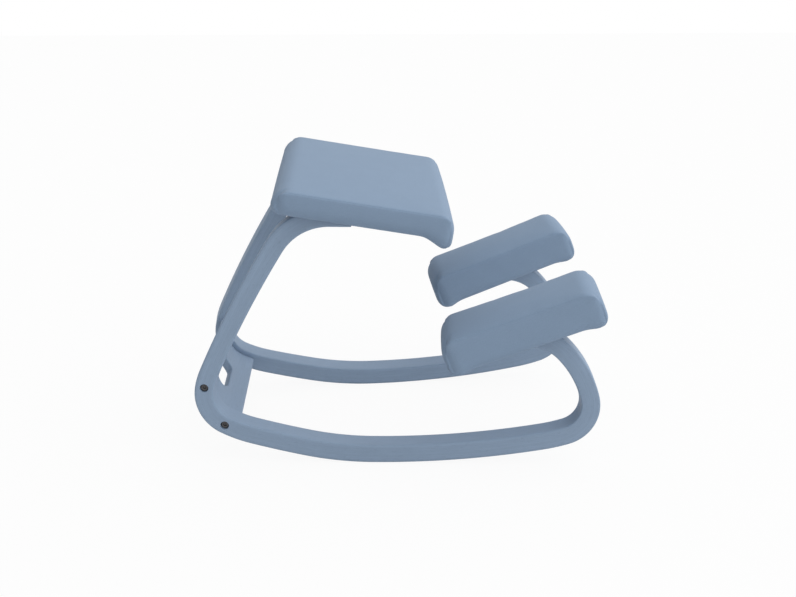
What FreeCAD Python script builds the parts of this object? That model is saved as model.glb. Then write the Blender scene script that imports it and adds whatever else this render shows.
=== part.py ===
import FreeCAD, Part
import math
import os
import Sketcher
from FreeCAD import Placement, Rotation, Vector

# A rocking kneeling chair: two bent wood rails, a bent cross board, a seat and two knee pads.
# Millimetres. +X is the way the sitter faces, +Y is the sitter's left, +Z is up.
# The origin lies on the floor, half way between the rails' front and back.
# The right-hand pieces are modelled and the left-hand ones are their mirror images.

# Driving sizes, in millimetres and degrees

RAIL_BENDS = [
    # name, centre-line radius, turn
    ("seat_bend", 112.5, 58.3),
    ("rear_leg", 1953.0, 7.7),
    ("heel_entry", 137.0, 12.0),
    ("heel", 64.5, 75.0),
    ("heel_exit", 244.0, 12.5),
    ("rear_rocker", 1837.0, 3.0),
    ("middle_rocker", 602.0, 11.6),
    ("front_rocker", 1707.0, 10.3),
    ("front_entry", 329.0, 7.8),
    ("front_bend", 59.0, 85.8),
    ("front_leg", 188.5, 30.5),
    ("knee_bend", 88.5, 66.5),
]

SIZES = {
    "rail_width": 46.5,
    "rail_thickness": 33.5,
    "rail_edge_flat": 3.2,
    "rail_lean": 2.26,
    "rail_splay": 3.2,
    "stance_half_width": 208.0,
    "seat_arm_length": 38.0,
    "knee_arm_length": 60.0,
    "seat_arm_tip": 14.5,
    "knee_arm_tip": 17.2,
    "board_thickness": 16.0,
    "board_overrun_up": 17.0,
    "board_overrun_front": 23.0,
    "board_edge_flat": 2.2,
    "hand_hole_length": 110.0,
    "hand_hole_height": 44.0,
    "hand_hole_corner": 18.0,
    "board_bolt_diameter": 8.0,
    "board_bolt_length": 75.0,
    "board_bolt_head_diameter": 13.0,
    "board_bolt_head_height": 8.0,
    "board_bolt_socket": 6.0,
    "board_bolt_socket_depth": 4.0,
    "board_bolt_recess": 12.0,
    "board_bolt_recess_diameter": 15.5,
    "barrel_nut_diameter": 12.0,
    "barrel_nut_length": 12.0,
    "barrel_nut_depth": 35.0,
    "barrel_nut_clearance": 0.2,
    "bolt_clearance": 0.2,
    "seat_pitch": 9.5,
    "seat_forward": 16.2,
    "seat_half_length": 157.0,
    "seat_half_width": 229.0,
    "seat_height": 40.0,
    "seat_crown": 5.0,
    "seat_rim_drop": 7.0,
    "seat_nose_drop": 27.0,
    "seat_rear_drop": 7.0,
    "seat_nose_length": 56.0,
    "seat_nose_radius": 20.0,
    "seat_rear_radius": 18.0,
    "seat_dip_radius": 60.0,
    "seat_corner": 30.0,
    "seat_end_round": 28.0,
    "seat_rear_round": 33.0,
    "seat_edge_radius": 14.0,
    "seat_lower_radius": 26.0,
    "seat_plate_margin": 22.0,
    "seat_plate_corner": 22.0,
    "seat_recess_margin": 29.0,
    "seat_bolt_first": 20.0,
    "seat_bolt_second": 58.0,
    "knee_forward": 87.0,
    "knee_inset": 4.0,
    "knee_half_length": 146.5,
    "knee_half_width": 71.5,
    "knee_height": 52.0,
    "knee_crown": 5.0,
    "knee_rim_drop": 14.5,
    "knee_nose_drop": 23.5,
    "knee_rear_drop": 24.5,
    "knee_nose_length": 50.0,
    "knee_nose_radius": 27.0,
    "knee_rear_radius": 27.0,
    "knee_dip_radius": 60.0,
    "knee_corner": 27.0,
    "knee_end_round": 32.0,
    "knee_rear_round": 32.0,
    "knee_edge_radius": 16.0,
    "knee_lower_radius": 16.0,
    "knee_plate_margin": 20.0,
    "knee_plate_corner": 16.0,
    "knee_recess_margin": 27.0,
    "knee_bolt_first": 25.0,
    "knee_bolt_second": 85.0,
    "draw_in": 5.0,
    "cover_thickness": 1.5,
    "lining_thickness": 0.8,
    "lining_gap": 0.3,
    "plate_thickness": 12.0,
    "arm_grip": 9.0,
    "arm_bolt_diameter": 6.0,
    "arm_bolt_length": 25.0,
    "arm_bolt_head_diameter": 10.5,
    "arm_bolt_head_height": 3.3,
    "arm_bolt_recess_diameter": 17.0,
    "washer_diameter": 16.0,
    "washer_thickness": 1.6,
    "tee_nut_flange_diameter": 19.0,
    "tee_nut_flange_thickness": 1.5,
    "tee_nut_barrel_diameter": 8.0,
    "tee_nut_barrel_length": 9.0,
    "nut_headroom": 3.0,
    "fastener_sides": 12,
}

BEND_NAMES = [name for name, radius, turn in RAIL_BENDS]
SIZES.update({name + "_radius": radius for name, radius, turn in RAIL_BENDS})
SIZES.update({name + "_turn": turn for name, radius, turn in RAIL_BENDS})

# Heading at which the knee arm would run level, one and a half turns on from the start of the angles
LEVEL_HEADING = 540.0
# A cutting tool stands this far past the face it cuts
OVERSHOOT = 1.0
# Blocks that trim a piece are this many times its own size
TRIM_SPAN = 3
# The crown is an arc over this share of the half width, under a sharp peak this much above its own height
CROWN_SHARE = 0.75
CROWN_LIFT = 1.6

doc = FreeCAD.newDocument("kneeling_chair")
sheet = doc.addObject("Spreadsheet::Sheet", "Dimensions")
for row, (alias, value) in enumerate(SIZES.items(), start=1):
    sheet.set(f"A{row}", alias)
    sheet.set(f"B{row}", str(value))
    sheet.setAlias(f"B{row}", alias)
doc.recompute()


# Small helpers

def size(alias):
    """Value of a named cell of the sheet."""
    return float(sheet.get(alias))


def bind(obj, formulas):
    """Tie properties of an object to sheet formulas, where a cell is written as @alias."""
    for target, formula in formulas.items():
        obj.setExpression(target, formula.replace("@", "Dimensions."))
    return obj


def add(kind, label, placement=None, **formulas):
    """Add a document object with its sizes tied to the sheet."""
    obj = doc.addObject(kind, label)
    obj.Label = label
    bind(obj, formulas)
    if placement is not None:
        obj.Placement = placement
    return obj


def cut(label, base, tool, placement=None):
    """One object with another taken away from it."""
    obj = add("Part::Cut", label, placement)
    obj.Base = base
    obj.Tool = tool
    return obj


def fuse(label, parts):
    """Several touching or overlapping objects as one."""
    obj = add("Part::MultiFuse", label)
    obj.Shapes = parts
    return obj


def group(label, parts):
    """Separate solids held together as one node."""
    obj = add("Part::Compound", label)
    obj.Links = parts
    return obj


def mirror(label, source):
    """The left-hand twin of a right-hand piece."""
    obj = add("Part::Mirroring", label)
    obj.Source = source
    obj.Normal = Vector(0, 1, 0)
    return obj


def peg(label, radius, height, placement=None):
    """Peg with a few flat sides, for hidden fasteners and their holes, which keeps the mesh light."""
    return add("Part::Prism", label, placement, Polygon="@fastener_sides", Circumradius=radius,
               Height=height)


def along(start, direction):
    """Placement that puts local +Z along a direction."""
    return Placement(start, Rotation(Vector(0, 0, 1), direction))


def origin_plane(body, role):
    """One of the body's own origin planes."""
    return next(plane for plane in body.Origin.OriginFeatures if plane.Role == role)


def sketch_on(body, role, label, offset=None):
    """Empty sketch on one of the body's origin planes."""
    sketch = body.newObject("Sketcher::SketchObject", label)
    sketch.AttachmentSupport = [(origin_plane(body, role), "")]
    sketch.MapMode = "FlatFace"
    if offset is not None:
        sketch.AttachmentOffset = offset
    return sketch


def name_constraint(sketch, constraint, name, formula):
    """Add a dimension to a sketch, name it and tie it to the sheet."""
    index = sketch.addConstraint(constraint)
    sketch.renameConstraint(index, name)
    bind(sketch, {f"Constraints.{name}": formula})


def rounded_rectangle(sketch, length, width, radius):
    """Draw a centred rounded rectangle from three sheet formulas: length on X, width on Y, corner."""
    values = [float(bound_value(formula)) for formula in (length, width, radius)]
    half_l, half_w, r = values[0] / 2, values[1] / 2, values[2]
    corners = [(half_l - r, -half_w + r, -90), (half_l - r, half_w - r, 0),
               (-half_l + r, half_w - r, 90), (-half_l + r, -half_w + r, 180)]
    for number, (cx, cy, start) in enumerate(corners):
        circle = Part.Circle(Vector(cx, cy, 0), Vector(0, 0, 1), r)
        arc = Part.ArcOfCircle(circle, math.radians(start), math.radians(start + 90))
        px, py, previous = corners[number - 1]
        direction = Vector(math.cos(math.radians(start)), math.sin(math.radians(start)), 0)
        line = Part.LineSegment(Vector(px, py, 0) + direction * r, Vector(cx, cy, 0) + direction * r)
        sketch.addGeometry(line)
        sketch.addGeometry(arc)
    for number in range(8):
        sketch.addConstraint(Sketcher.Constraint("Tangent", number, 2, (number + 1) % 8, 1))
    for number in (0, 4):
        sketch.addConstraint(Sketcher.Constraint("Horizontal", number))
        sketch.addConstraint(Sketcher.Constraint("Vertical", number + 2))
    for number in (1, 3, 5):
        sketch.addConstraint(Sketcher.Constraint("Equal", number, number + 2))
    sketch.addConstraint(Sketcher.Constraint("Symmetric", 3, 3, 7, 3, -1, 1))
    name_constraint(sketch, Sketcher.Constraint("DistanceY", 0, 1, 4, 2, values[1]), "width", width)
    name_constraint(sketch, Sketcher.Constraint("DistanceX", 6, 1, 2, 2, values[0]), "length", length)
    name_constraint(sketch, Sketcher.Constraint("Radius", 1, r), "corner", radius)


def eased_rectangle(sketch, length, width, flat):
    """Draw a centred rectangle with 45 degree flats from sheet formulas: length on X, width on Y, flat."""
    values = [float(bound_value(formula)) for formula in (length, width, flat)]
    half_l, half_w, leg = values[0] / 2, values[1] / 2, values[2]
    corners = [(half_l, half_w - leg), (half_l - leg, half_w),
               (-half_l + leg, half_w), (-half_l, half_w - leg),
               (-half_l, -half_w + leg), (-half_l + leg, -half_w),
               (half_l - leg, -half_w), (half_l, -half_w + leg)]
    for number, (x, y) in enumerate(corners):
        px, py = corners[number - 1]
        sketch.addGeometry(Part.LineSegment(Vector(px, py, 0), Vector(x, y, 0)))
    for number in range(8):
        sketch.addConstraint(Sketcher.Constraint("Coincident", number, 2, (number + 1) % 8, 1))
    for number in (0, 4):
        sketch.addConstraint(Sketcher.Constraint("Vertical", number))
        sketch.addConstraint(Sketcher.Constraint("Horizontal", number + 2))
    for number in (1, 3, 5):
        sketch.addConstraint(Sketcher.Constraint("Equal", number, number + 2))
        sketch.addConstraint(Sketcher.Constraint("Perpendicular", number, number + 2))
    sketch.addConstraint(Sketcher.Constraint("Symmetric", 0, 1, 4, 1, -1, 1))
    name_constraint(sketch, Sketcher.Constraint("DistanceX", 4, 1, 0, 1, values[0]), "length", length)
    name_constraint(sketch, Sketcher.Constraint("DistanceY", 6, 1, 2, 1, values[1]), "width", width)
    name_constraint(sketch, Sketcher.Constraint("DistanceX", 1, 2, 1, 1, leg), "flat_across", flat)
    name_constraint(sketch, Sketcher.Constraint("DistanceY", 1, 1, 1, 2, leg), "flat_up", flat)


def bound_value(formula):
    """Number that a sheet formula gives now."""
    text = formula.replace("@", "Dimensions.")
    return sheet.evalExpression(text)


# The rail's centre line, worked out from its bends

def rail_path():
    """Nodes of the centre line as (u, v, heading), from the seat arm's tip to the knee arm's tip.

    Every bend turns left. The line is moved so that the rail's lowest underside is at v = 0 and
    its rearmost and foremost faces are the same distance from u = 0.
    """
    half = size("rail_thickness") / 2
    u, v, heading = 0.0, 0.0, 180.0
    nodes = [(u, v, heading)]
    u -= size("seat_arm_length")
    nodes.append((u, v, heading))
    reach = {}
    for name in BEND_NAMES:
        radius, turn = size(name + "_radius"), size(name + "_turn")
        cu = u - radius * math.sin(math.radians(heading))
        cv = v + radius * math.cos(math.radians(heading))
        for side in (270, 360, 450):
            if heading <= side <= heading + turn:
                reach[side] = (cu + radius * math.sin(math.radians(side)),
                               cv - radius * math.cos(math.radians(side)))
        heading += turn
        u = cu + radius * math.sin(math.radians(heading))
        v = cv - radius * math.cos(math.radians(heading))
        nodes.append((u, v, heading))
    u += size("knee_arm_length") * math.cos(math.radians(heading))
    v += size("knee_arm_length") * math.sin(math.radians(heading))
    nodes.append((u, v, heading))
    shift_u = -(reach[270][0] + reach[450][0]) / 2
    shift_v = half - reach[360][1]
    return [(u + shift_u, v + shift_v, heading) for u, v, heading in nodes]


PATH = rail_path()
NODE_NAMES = ["seat_tip", "seat_arm"] + BEND_NAMES + ["knee_tip"]
NODE = dict(zip(NODE_NAMES, PATH))
SEAT_TIP = NODE["seat_tip"]
KNEE_TIP = NODE["knee_tip"]
HEEL_TOP = NODE["heel_entry"]
HEEL_FRONT = NODE["heel"]


def rail_placement():
    """Right rail: leaned inwards going up, splayed outwards going forward, edge on the floor."""
    lean = math.radians(size("rail_lean"))
    half_width = size("rail_width") / 2
    side = -size("stance_half_width") + half_width * math.cos(lean)
    lift = (half_width - size("rail_edge_flat")) * math.sin(lean)
    turn = Rotation(Vector(0, 0, 1), -size("rail_splay"))
    tilt = Rotation(Vector(1, 0, 0), -size("rail_lean"))
    return Placement(Vector(0, side, lift), turn * tilt)


RAIL = rail_placement()


def seat_placement():
    """Seat frame: +X forward along the seat, +Z out of its top, origin under its centre."""
    height = SEAT_TIP[1] - size("rail_thickness") / 2 + size("seat_arm_tip")
    tip = RAIL.multVec(Vector(SEAT_TIP[0], 0, height))
    pitch = Rotation(Vector(0, 1, 0), size("seat_pitch"))
    centre = tip + pitch.multVec(Vector(size("seat_forward"), 0, size("lining_thickness")))
    return Placement(Vector(centre.x, 0, centre.z), pitch)


def knee_placement():
    """Right knee pad frame, parallel to the knee arm and splayed with the rail."""
    drop = size("knee_arm_tip") - size("rail_thickness") / 2
    heading = math.radians(KNEE_TIP[2])
    tip = RAIL.multVec(Vector(KNEE_TIP[0] + drop * math.sin(heading), 0,
                              KNEE_TIP[1] - drop * math.cos(heading)))
    pitch = LEVEL_HEADING - KNEE_TIP[2]
    attitude = (Rotation(Vector(0, 0, 1), -size("rail_splay"))
                * Rotation(Vector(0, 1, 0), pitch))
    step = Vector(size("knee_forward"), size("knee_inset"), size("lining_thickness"))
    return Placement(tip + attitude.multVec(step), attitude)


SEAT = seat_placement()
KNEE = knee_placement()


def arm_bolt_spots(frame, tip, first, second):
    """Where an arm's two bolts cross a cushion's underside, in that cushion's frame."""
    back = math.radians(tip[2] + 180)
    spots = []
    for distance in (size(first), size(second)):
        point = RAIL.multVec(Vector(tip[0] - distance * math.cos(back) * direction_sign(tip), 0,
                                    tip[1] - distance * math.sin(back) * direction_sign(tip)))
        local = frame.inverse().multVec(point)
        spots.append(Vector(local.x, local.y, 0))
    return spots


def direction_sign(tip):
    """The path leaves the seat arm's tip and arrives at the knee arm's tip."""
    return 1 if tip is SEAT_TIP else -1


SEAT_SPOTS = arm_bolt_spots(SEAT, SEAT_TIP, "seat_bolt_first", "seat_bolt_second")
KNEE_SPOTS = arm_bolt_spots(KNEE, KNEE_TIP, "knee_bolt_first", "knee_bolt_second")


# Rails

def draw_rail_path(sketch):
    """Centre line of the rail: an arm, twelve tangent bends and an arm, all dimensioned."""
    first, second = PATH[0], PATH[1]
    sketch.addGeometry(Part.LineSegment(Vector(first[0], first[1], 0), Vector(second[0], second[1], 0)))
    for (u, v, heading), name in zip(PATH[1:], BEND_NAMES):
        radius, turn = size(name + "_radius"), size(name + "_turn")
        angle = math.radians(heading)
        centre = Vector(u - radius * math.sin(angle), v + radius * math.cos(angle), 0)
        start = math.radians(heading - 90)
        circle = Part.Circle(centre, Vector(0, 0, 1), radius)
        sketch.addGeometry(Part.ArcOfCircle(circle, start, start + math.radians(turn)))
    third, last = PATH[-2], PATH[-1]
    sketch.addGeometry(Part.LineSegment(Vector(third[0], third[1], 0), Vector(last[0], last[1], 0)))
    pieces = len(BEND_NAMES) + 2
    for number in range(pieces - 1):
        sketch.addConstraint(Sketcher.Constraint("Tangent", number, 2, number + 1, 1))
    sketch.addConstraint(Sketcher.Constraint("Horizontal", 0))
    sketch.addConstraint(Sketcher.Constraint("DistanceX", -1, 1, 0, 1, first[0]))
    sketch.addConstraint(Sketcher.Constraint("DistanceY", -1, 1, 0, 1, first[1]))
    name_constraint(sketch, Sketcher.Constraint("Distance", 0, size("seat_arm_length")),
                    "seat_arm", "@seat_arm_length")
    name_constraint(sketch, Sketcher.Constraint("Distance", pieces - 1, size("knee_arm_length")),
                    "knee_arm", "@knee_arm_length")
    for number, name in enumerate(BEND_NAMES, start=1):
        name_constraint(sketch, Sketcher.Constraint("Radius", number, size(name + "_radius")),
                        name + "_radius", f"@{name}_radius")
        name_constraint(sketch, Sketcher.Constraint("Angle", number, math.radians(size(name + "_turn"))),
                        name + "_turn", f"@{name}_turn")


def draw_bolt_circles(sketch, formula):
    """One circle at each end of the heel bend."""
    radius = bound_value(formula) / 2
    for number, (u, v, heading) in enumerate((HEEL_TOP, HEEL_FRONT)):
        sketch.addGeometry(Part.Circle(Vector(u, v, 0), Vector(0, 0, 1), radius))
        sketch.addConstraint(Sketcher.Constraint("DistanceX", -1, 1, number, 3, u))
        sketch.addConstraint(Sketcher.Constraint("DistanceY", -1, 1, number, 3, v))
        name_constraint(sketch, Sketcher.Constraint("Diameter", number, radius * 2),
                        f"hole_{number}", formula)


def rail_blank():
    """Bent lamination with eased edges and the cross board's bolt holes."""
    body = add("PartDesign::Body", "rail_blank", RAIL)
    path = sketch_on(body, "XZ_Plane", "rail_path")
    draw_rail_path(path)
    section = sketch_on(body, "YZ_Plane", "rail_section", section_offset())
    eased_rectangle(section, "@rail_width", "@rail_thickness", "@rail_edge_flat")
    doc.recompute()
    pipe = body.newObject("PartDesign::AdditivePipe", "rail_sweep")
    pipe.Profile = section
    pipe.Spine = (path, [])
    doc.recompute()
    drill = sketch_on(body, "XZ_Plane", "board_bolt_holes")
    draw_bolt_circles(drill, "@board_bolt_diameter + 2 * @bolt_clearance")
    holes = body.newObject("PartDesign::Pocket", "board_bolt_drilling")
    holes.Profile = drill
    holes.Type = "ThroughAll"
    holes.Midplane = True
    outer_face = Placement(Vector(0, 0, size("rail_width") / 2), Rotation())
    sink = sketch_on(body, "XZ_Plane", "board_bolt_recesses", outer_face)
    draw_bolt_circles(sink, "@board_bolt_recess_diameter")
    recess = body.newObject("PartDesign::Pocket", "board_bolt_counterbores")
    recess.Profile = sink
    bind(recess, {"Length": "@board_bolt_recess"})
    doc.recompute()
    return body


def section_offset():
    """The section stands across the centre line at the seat arm's tip."""
    return Placement(Vector(0, SEAT_TIP[1], SEAT_TIP[0]), Rotation())


def plane_trim(label, frame, reach_back, reach_front):
    """Block whose lower face is a cushion's underside, which trims the arm flush."""
    block = add("Part::Box", label, Width=f"@rail_width * {TRIM_SPAN}",
                Height=f"@rail_thickness * {TRIM_SPAN}")
    block.Length = reach_back + reach_front
    corner = Vector(-reach_back, -size("rail_width") * TRIM_SPAN / 2, -size("lining_thickness"))
    block.Placement = frame.multiply(Placement(corner, Rotation()))
    return block


def arm_drillings(label, frame, spots):
    """Clearance holes and counterbores under a cushion, square to its underside."""
    tools = []
    for number, spot in enumerate(spots):
        depth = size("arm_grip") + size("lining_thickness") + OVERSHOOT
        hole = peg(f"{label}_hole_{number}", "@arm_bolt_diameter / 2 + @bolt_clearance",
                   f"@arm_grip + @lining_thickness + 2 * {OVERSHOOT}",
                   frame.multiply(Placement(spot - Vector(0, 0, depth), Rotation())))
        depth = size("arm_grip") + size("lining_thickness") + size("rail_thickness")
        sink = peg(f"{label}_sink_{number}", "@arm_bolt_recess_diameter / 2", "@rail_thickness",
                   frame.multiply(Placement(spot - Vector(0, 0, depth), Rotation())))
        tools += [hole, sink]
    return tools


def make_rails():
    """Right rail trimmed and drilled for its cushions, and its mirror image."""
    blank = rail_blank()
    arm = size("seat_arm_length") + size("seat_bend_radius")
    seat_block = plane_trim("seat_trim", along_arm(SEAT, SEAT_SPOTS), arm,
                            size("seat_bolt_first") * TRIM_SPAN)
    knee_reach = size("knee_arm_length") + size("knee_bend_radius")
    knee_block = plane_trim("knee_trim", along_arm(KNEE, KNEE_SPOTS),
                            size("knee_bolt_second"), knee_reach)
    tools = [seat_block, knee_block]
    tools += arm_drillings("seat_arm", SEAT, SEAT_SPOTS)
    tools += arm_drillings("knee_arm", KNEE, KNEE_SPOTS)
    right = cut("right_runner", blank, fuse("rail_tools", tools))
    left = mirror("left_runner", right)
    return [right, left]


def along_arm(frame, spots):
    """A cushion's frame moved to its first bolt, in line with the arm."""
    return frame.multiply(Placement(spots[0], Rotation()))


# Cross board

def board_placement():
    """Brings the board's middle line onto the rails' middle line at their inner faces."""
    u, v, heading = HEEL_TOP
    place = RAIL.multVec(Vector(u, size("rail_width") / 2, v))
    return Placement(Vector(place.x - u, 0, place.z - v), Rotation())


def bend_arc(node, radius, offset, start_turn, end_turn):
    """Arc that runs beside a bend of the centre line, from one heading to another past the node."""
    u, v, heading = node
    angle = math.radians(heading)
    centre = Vector(u - radius * math.sin(angle), v + radius * math.cos(angle), 0)
    circle = Part.Circle(centre, Vector(0, 0, 1), radius + offset)
    first = heading - 90 + start_turn
    last = heading - 90 + end_turn
    return Part.ArcOfCircle(circle, math.radians(first), math.radians(last))


def draw_board_outline(sketch):
    """Edge-on shape of the bent board: three tangent arcs outside, three inside and two ends."""
    half = size("board_thickness") / 2
    entry, heel, leave = size("heel_entry_radius"), size("heel_radius"), size("heel_exit_radius")
    up = math.degrees(size("board_overrun_up") / entry)
    front = math.degrees(size("board_overrun_front") / leave)
    for offset in (half, -half):
        sketch.addGeometry(bend_arc(HEEL_TOP, entry, offset, -up, 0))
        sketch.addGeometry(bend_arc(HEEL_TOP, heel, offset, 0, size("heel_turn")))
        sketch.addGeometry(bend_arc(HEEL_FRONT, leave, offset, 0, front))
    arcs = sketch.Geometry
    sketch.addGeometry(Part.LineSegment(arcs[2].EndPoint, arcs[5].EndPoint))
    sketch.addGeometry(Part.LineSegment(arcs[0].StartPoint, arcs[3].StartPoint))
    for first in (0, 1, 3, 4):
        sketch.addConstraint(Sketcher.Constraint("Tangent", first, 2, first + 1, 1))
    for arc, end, line, line_end in ((2, 2, 6, 1), (5, 2, 6, 2), (0, 1, 7, 1), (3, 1, 7, 2)):
        sketch.addConstraint(Sketcher.Constraint("Coincident", arc, end, line, line_end))
    for outer in (0, 1, 2):
        sketch.addConstraint(Sketcher.Constraint("Coincident", outer, 3, outer + 3, 3))
    radii = ("heel_entry_radius", "heel_radius", "heel_exit_radius")
    for arc, radius in enumerate(radii):
        name_constraint(sketch, Sketcher.Constraint("Radius", arc, size(radius) + half),
                        radius, f"@{radius} + @board_thickness / 2")
    for arc, name, turn in ((0, "up", up), (2, "front", front), (3, "up", up), (5, "front", front)):
        radius = "heel_entry_radius" if name == "up" else "heel_exit_radius"
        name_constraint(sketch, Sketcher.Constraint("Angle", arc, math.radians(turn)), f"{name}_{arc}",
                        f"@board_overrun_{name} / @{radius} * 180 / pi")
    name_constraint(sketch, Sketcher.Constraint("Angle", 1, math.radians(size("heel_turn"))),
                    "heel_turn", "@heel_turn")
    name_constraint(sketch, Sketcher.Constraint("Distance", 6, 2 * half),
                    "thickness", "@board_thickness")
    centre, start = arcs[1].Center, arcs[1].StartPoint
    sketch.addConstraint(Sketcher.Constraint("DistanceX", -1, 1, 1, 3, centre.x))
    sketch.addConstraint(Sketcher.Constraint("DistanceY", -1, 1, 1, 3, centre.y))
    sketch.addConstraint(Sketcher.Constraint("DistanceX", -1, 1, 1, 1, start.x))


def board_edges(shape, outline):
    """Names of the board's four long corner edges."""
    corners = [line.StartPoint for line in outline.Geometry[6:8]]
    corners += [line.EndPoint for line in outline.Geometry[6:8]]
    names = []
    for number, edge in enumerate(shape.Edges, start=1):
        ends = [vertex.Point for vertex in edge.Vertexes]
        for corner in corners:
            if all(math.hypot(end.x - corner.x, end.z - corner.y) < 0.01 for end in ends):
                names.append(f"Edge{number}")
    return names


def hand_hole_frame():
    """Local frame of the hand hole: +X along the bend, +Y across the chair, +Z outwards."""
    radius = size("heel_radius")
    heading = HEEL_TOP[2] + size("heel_turn") / 2
    start, angle = math.radians(HEEL_TOP[2]), math.radians(heading)
    u = HEEL_TOP[0] + radius * (math.sin(angle) - math.sin(start))
    v = HEEL_TOP[1] - radius * (math.cos(angle) - math.cos(start))
    return Placement(Vector(u, 0, v), Rotation(Vector(0, 1, 0), 180 - heading))


def board_blank():
    """Bent board with softened edges and a hand hole, longer than it needs to be."""
    body = add("PartDesign::Body", "board_blank", board_placement())
    outline = sketch_on(body, "XZ_Plane", "board_outline")
    draw_board_outline(outline)
    pad = body.newObject("PartDesign::Pad", "board_pad")
    pad.Profile = outline
    pad.Midplane = True
    bind(pad, {"Length": "@stance_half_width * 2"})
    doc.recompute()
    soften = body.newObject("PartDesign::Chamfer", "board_eased_edges")
    soften.Base = (pad, board_edges(pad.Shape, outline))
    bind(soften, {"Size": "@board_edge_flat"})
    doc.recompute()
    slot = sketch_on(body, "XY_Plane", "hand_hole_outline", hand_hole_frame())
    rounded_rectangle(slot, "@hand_hole_height", "@hand_hole_length", "@hand_hole_corner")
    hole = body.newObject("PartDesign::Pocket", "hand_hole")
    hole.Profile = slot
    hole.Type = "ThroughAll"
    hole.Midplane = True
    doc.recompute()
    return body


def board_bolt_frames():
    """Right-hand bolt frames: +Z inwards along the bolt, +X out through the board's back."""
    seat = -size("rail_width") / 2 + size("board_bolt_recess")
    frames = []
    for u, v, heading in (HEEL_TOP, HEEL_FRONT):
        angle = math.radians(heading)
        outwards = Vector(math.sin(angle), 0, -math.cos(angle))
        inwards = Vector(0, 1, 0)
        attitude = Rotation(outwards, inwards.cross(outwards), inwards, "ZXY")
        frames.append(RAIL.multiply(Placement(Vector(u, seat, v), attitude)))
    return frames


def nut_frame(frame):
    """Barrel nut frame: +Z along the nut, out through the board's back."""
    reach = size("rail_width") - size("board_bolt_recess") + size("barrel_nut_depth")
    turn = Rotation(Vector(0, 1, 0), 90)
    return frame.multiply(Placement(Vector(0, 0, reach), turn))


def make_board(bolt_frames):
    """Board cut to the rails' inner faces and bored for its bolts and barrel nuts."""
    blank = board_blank()
    block = add("Part::Box", "board_end_trim", Length=f"@stance_half_width * {TRIM_SPAN}",
                Width=f"@rail_width * {TRIM_SPAN}", Height=f"@stance_half_width * {TRIM_SPAN}")
    corner = Vector(-size("stance_half_width") * TRIM_SPAN,
                    size("rail_width") * (0.5 - TRIM_SPAN), -size("stance_half_width"))
    block.Placement = RAIL.multiply(Placement(corner, Rotation()))
    tools = [block]
    for number, frame in enumerate(bolt_frames):
        bore = peg(f"board_bolt_bore_{number}", "@board_bolt_diameter / 2 + @bolt_clearance",
                   "@board_bolt_length + 2 * @bolt_clearance", frame)
        start = Vector(0, 0, -size("barrel_nut_length") / 2 - size("barrel_nut_clearance"))
        pocket = peg(f"barrel_nut_bore_{number}", "@barrel_nut_diameter / 2 + @barrel_nut_clearance",
                     "@barrel_nut_length + @board_thickness",
                     nut_frame(frame).multiply(Placement(start, Rotation())))
        tools += [bore, pocket]
    right_tools = fuse("board_tools_right", tools)
    left_tools = mirror("board_tools_left", right_tools)
    trimmed = cut("board_trimmed_right", blank, right_tools)
    return cut("cross_board", trimmed, left_tools)


# Fasteners

def socket_bolt(label, frame):
    """Cross board bolt with a hexagon socket: +Z along the shank from under the head."""
    shank = peg(label + "_shank", "@board_bolt_diameter / 2", "@board_bolt_length")
    head = add("Part::Cylinder", label + "_head", Radius="@board_bolt_head_diameter / 2",
               Height="@board_bolt_head_height")
    head.Placement = Placement(Vector(0, 0, -size("board_bolt_head_height")), Rotation())
    socket = add("Part::Prism", label + "_socket", Circumradius="@board_bolt_socket / sqrt(3)",
                 Height="@board_bolt_socket_depth")
    socket.Polygon = 6
    socket.Placement = head.Placement
    return cut(label, fuse(label + "_blank", [shank, head]), socket, frame)


def arm_bolt(label, frame):
    """Low-headed bolt: +Z along the shank from under the head."""
    shank = peg(label + "_shank", "@arm_bolt_diameter / 2", "@arm_bolt_length")
    below = Placement(Vector(0, 0, -size("arm_bolt_head_height")), Rotation())
    head = peg(label + "_head", "@arm_bolt_head_diameter / 2", "@arm_bolt_head_height", below)
    bolt = fuse(label, [shank, head])
    bolt.Placement = frame
    return bolt


def barrel_nut(label, frame):
    """Cross dowel nut: a short barrel bored across its middle."""
    centred = Placement(Vector(0, 0, -size("barrel_nut_length") / 2), Rotation())
    barrel = peg(label + "_barrel", "@barrel_nut_diameter / 2", "@barrel_nut_length", centred)
    across = along(Vector(size("barrel_nut_diameter"), 0, 0), Vector(-1, 0, 0))
    bore = peg(label + "_bore", "@board_bolt_diameter / 2 + @bolt_clearance", "@barrel_nut_diameter * 2",
               across)
    return cut(label, barrel, bore, frame)


def washer(label, frame):
    """Flat ring under an arm bolt's head."""
    disc = peg(label + "_disc", "@washer_diameter / 2", "@washer_thickness")
    hole = peg(label + "_hole", "@arm_bolt_diameter / 2 + @bolt_clearance", "@washer_thickness * 2")
    return cut(label, disc, hole, frame)


def tee_nut(label, frame):
    """Flanged nut that sits on the plate with its barrel in the plate's hole."""
    flange = peg(label + "_flange", "@tee_nut_flange_diameter / 2", "@tee_nut_flange_thickness")
    below = Placement(Vector(0, 0, -size("tee_nut_barrel_length")), Rotation())
    barrel = peg(label + "_barrel", "@tee_nut_barrel_diameter / 2", "@tee_nut_barrel_length", below)
    bore = peg(label + "_bore", "@arm_bolt_diameter / 2 + @bolt_clearance", "@tee_nut_barrel_length * 2",
               below)
    return cut(label, fuse(label + "_blank", [flange, barrel]), bore, frame)


def paired(label, pieces):
    """Right-hand pieces and their left-hand twins as one node."""
    right = group(label + "_right", pieces)
    return group(label, [right, mirror(label + "_left", right)])


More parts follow.
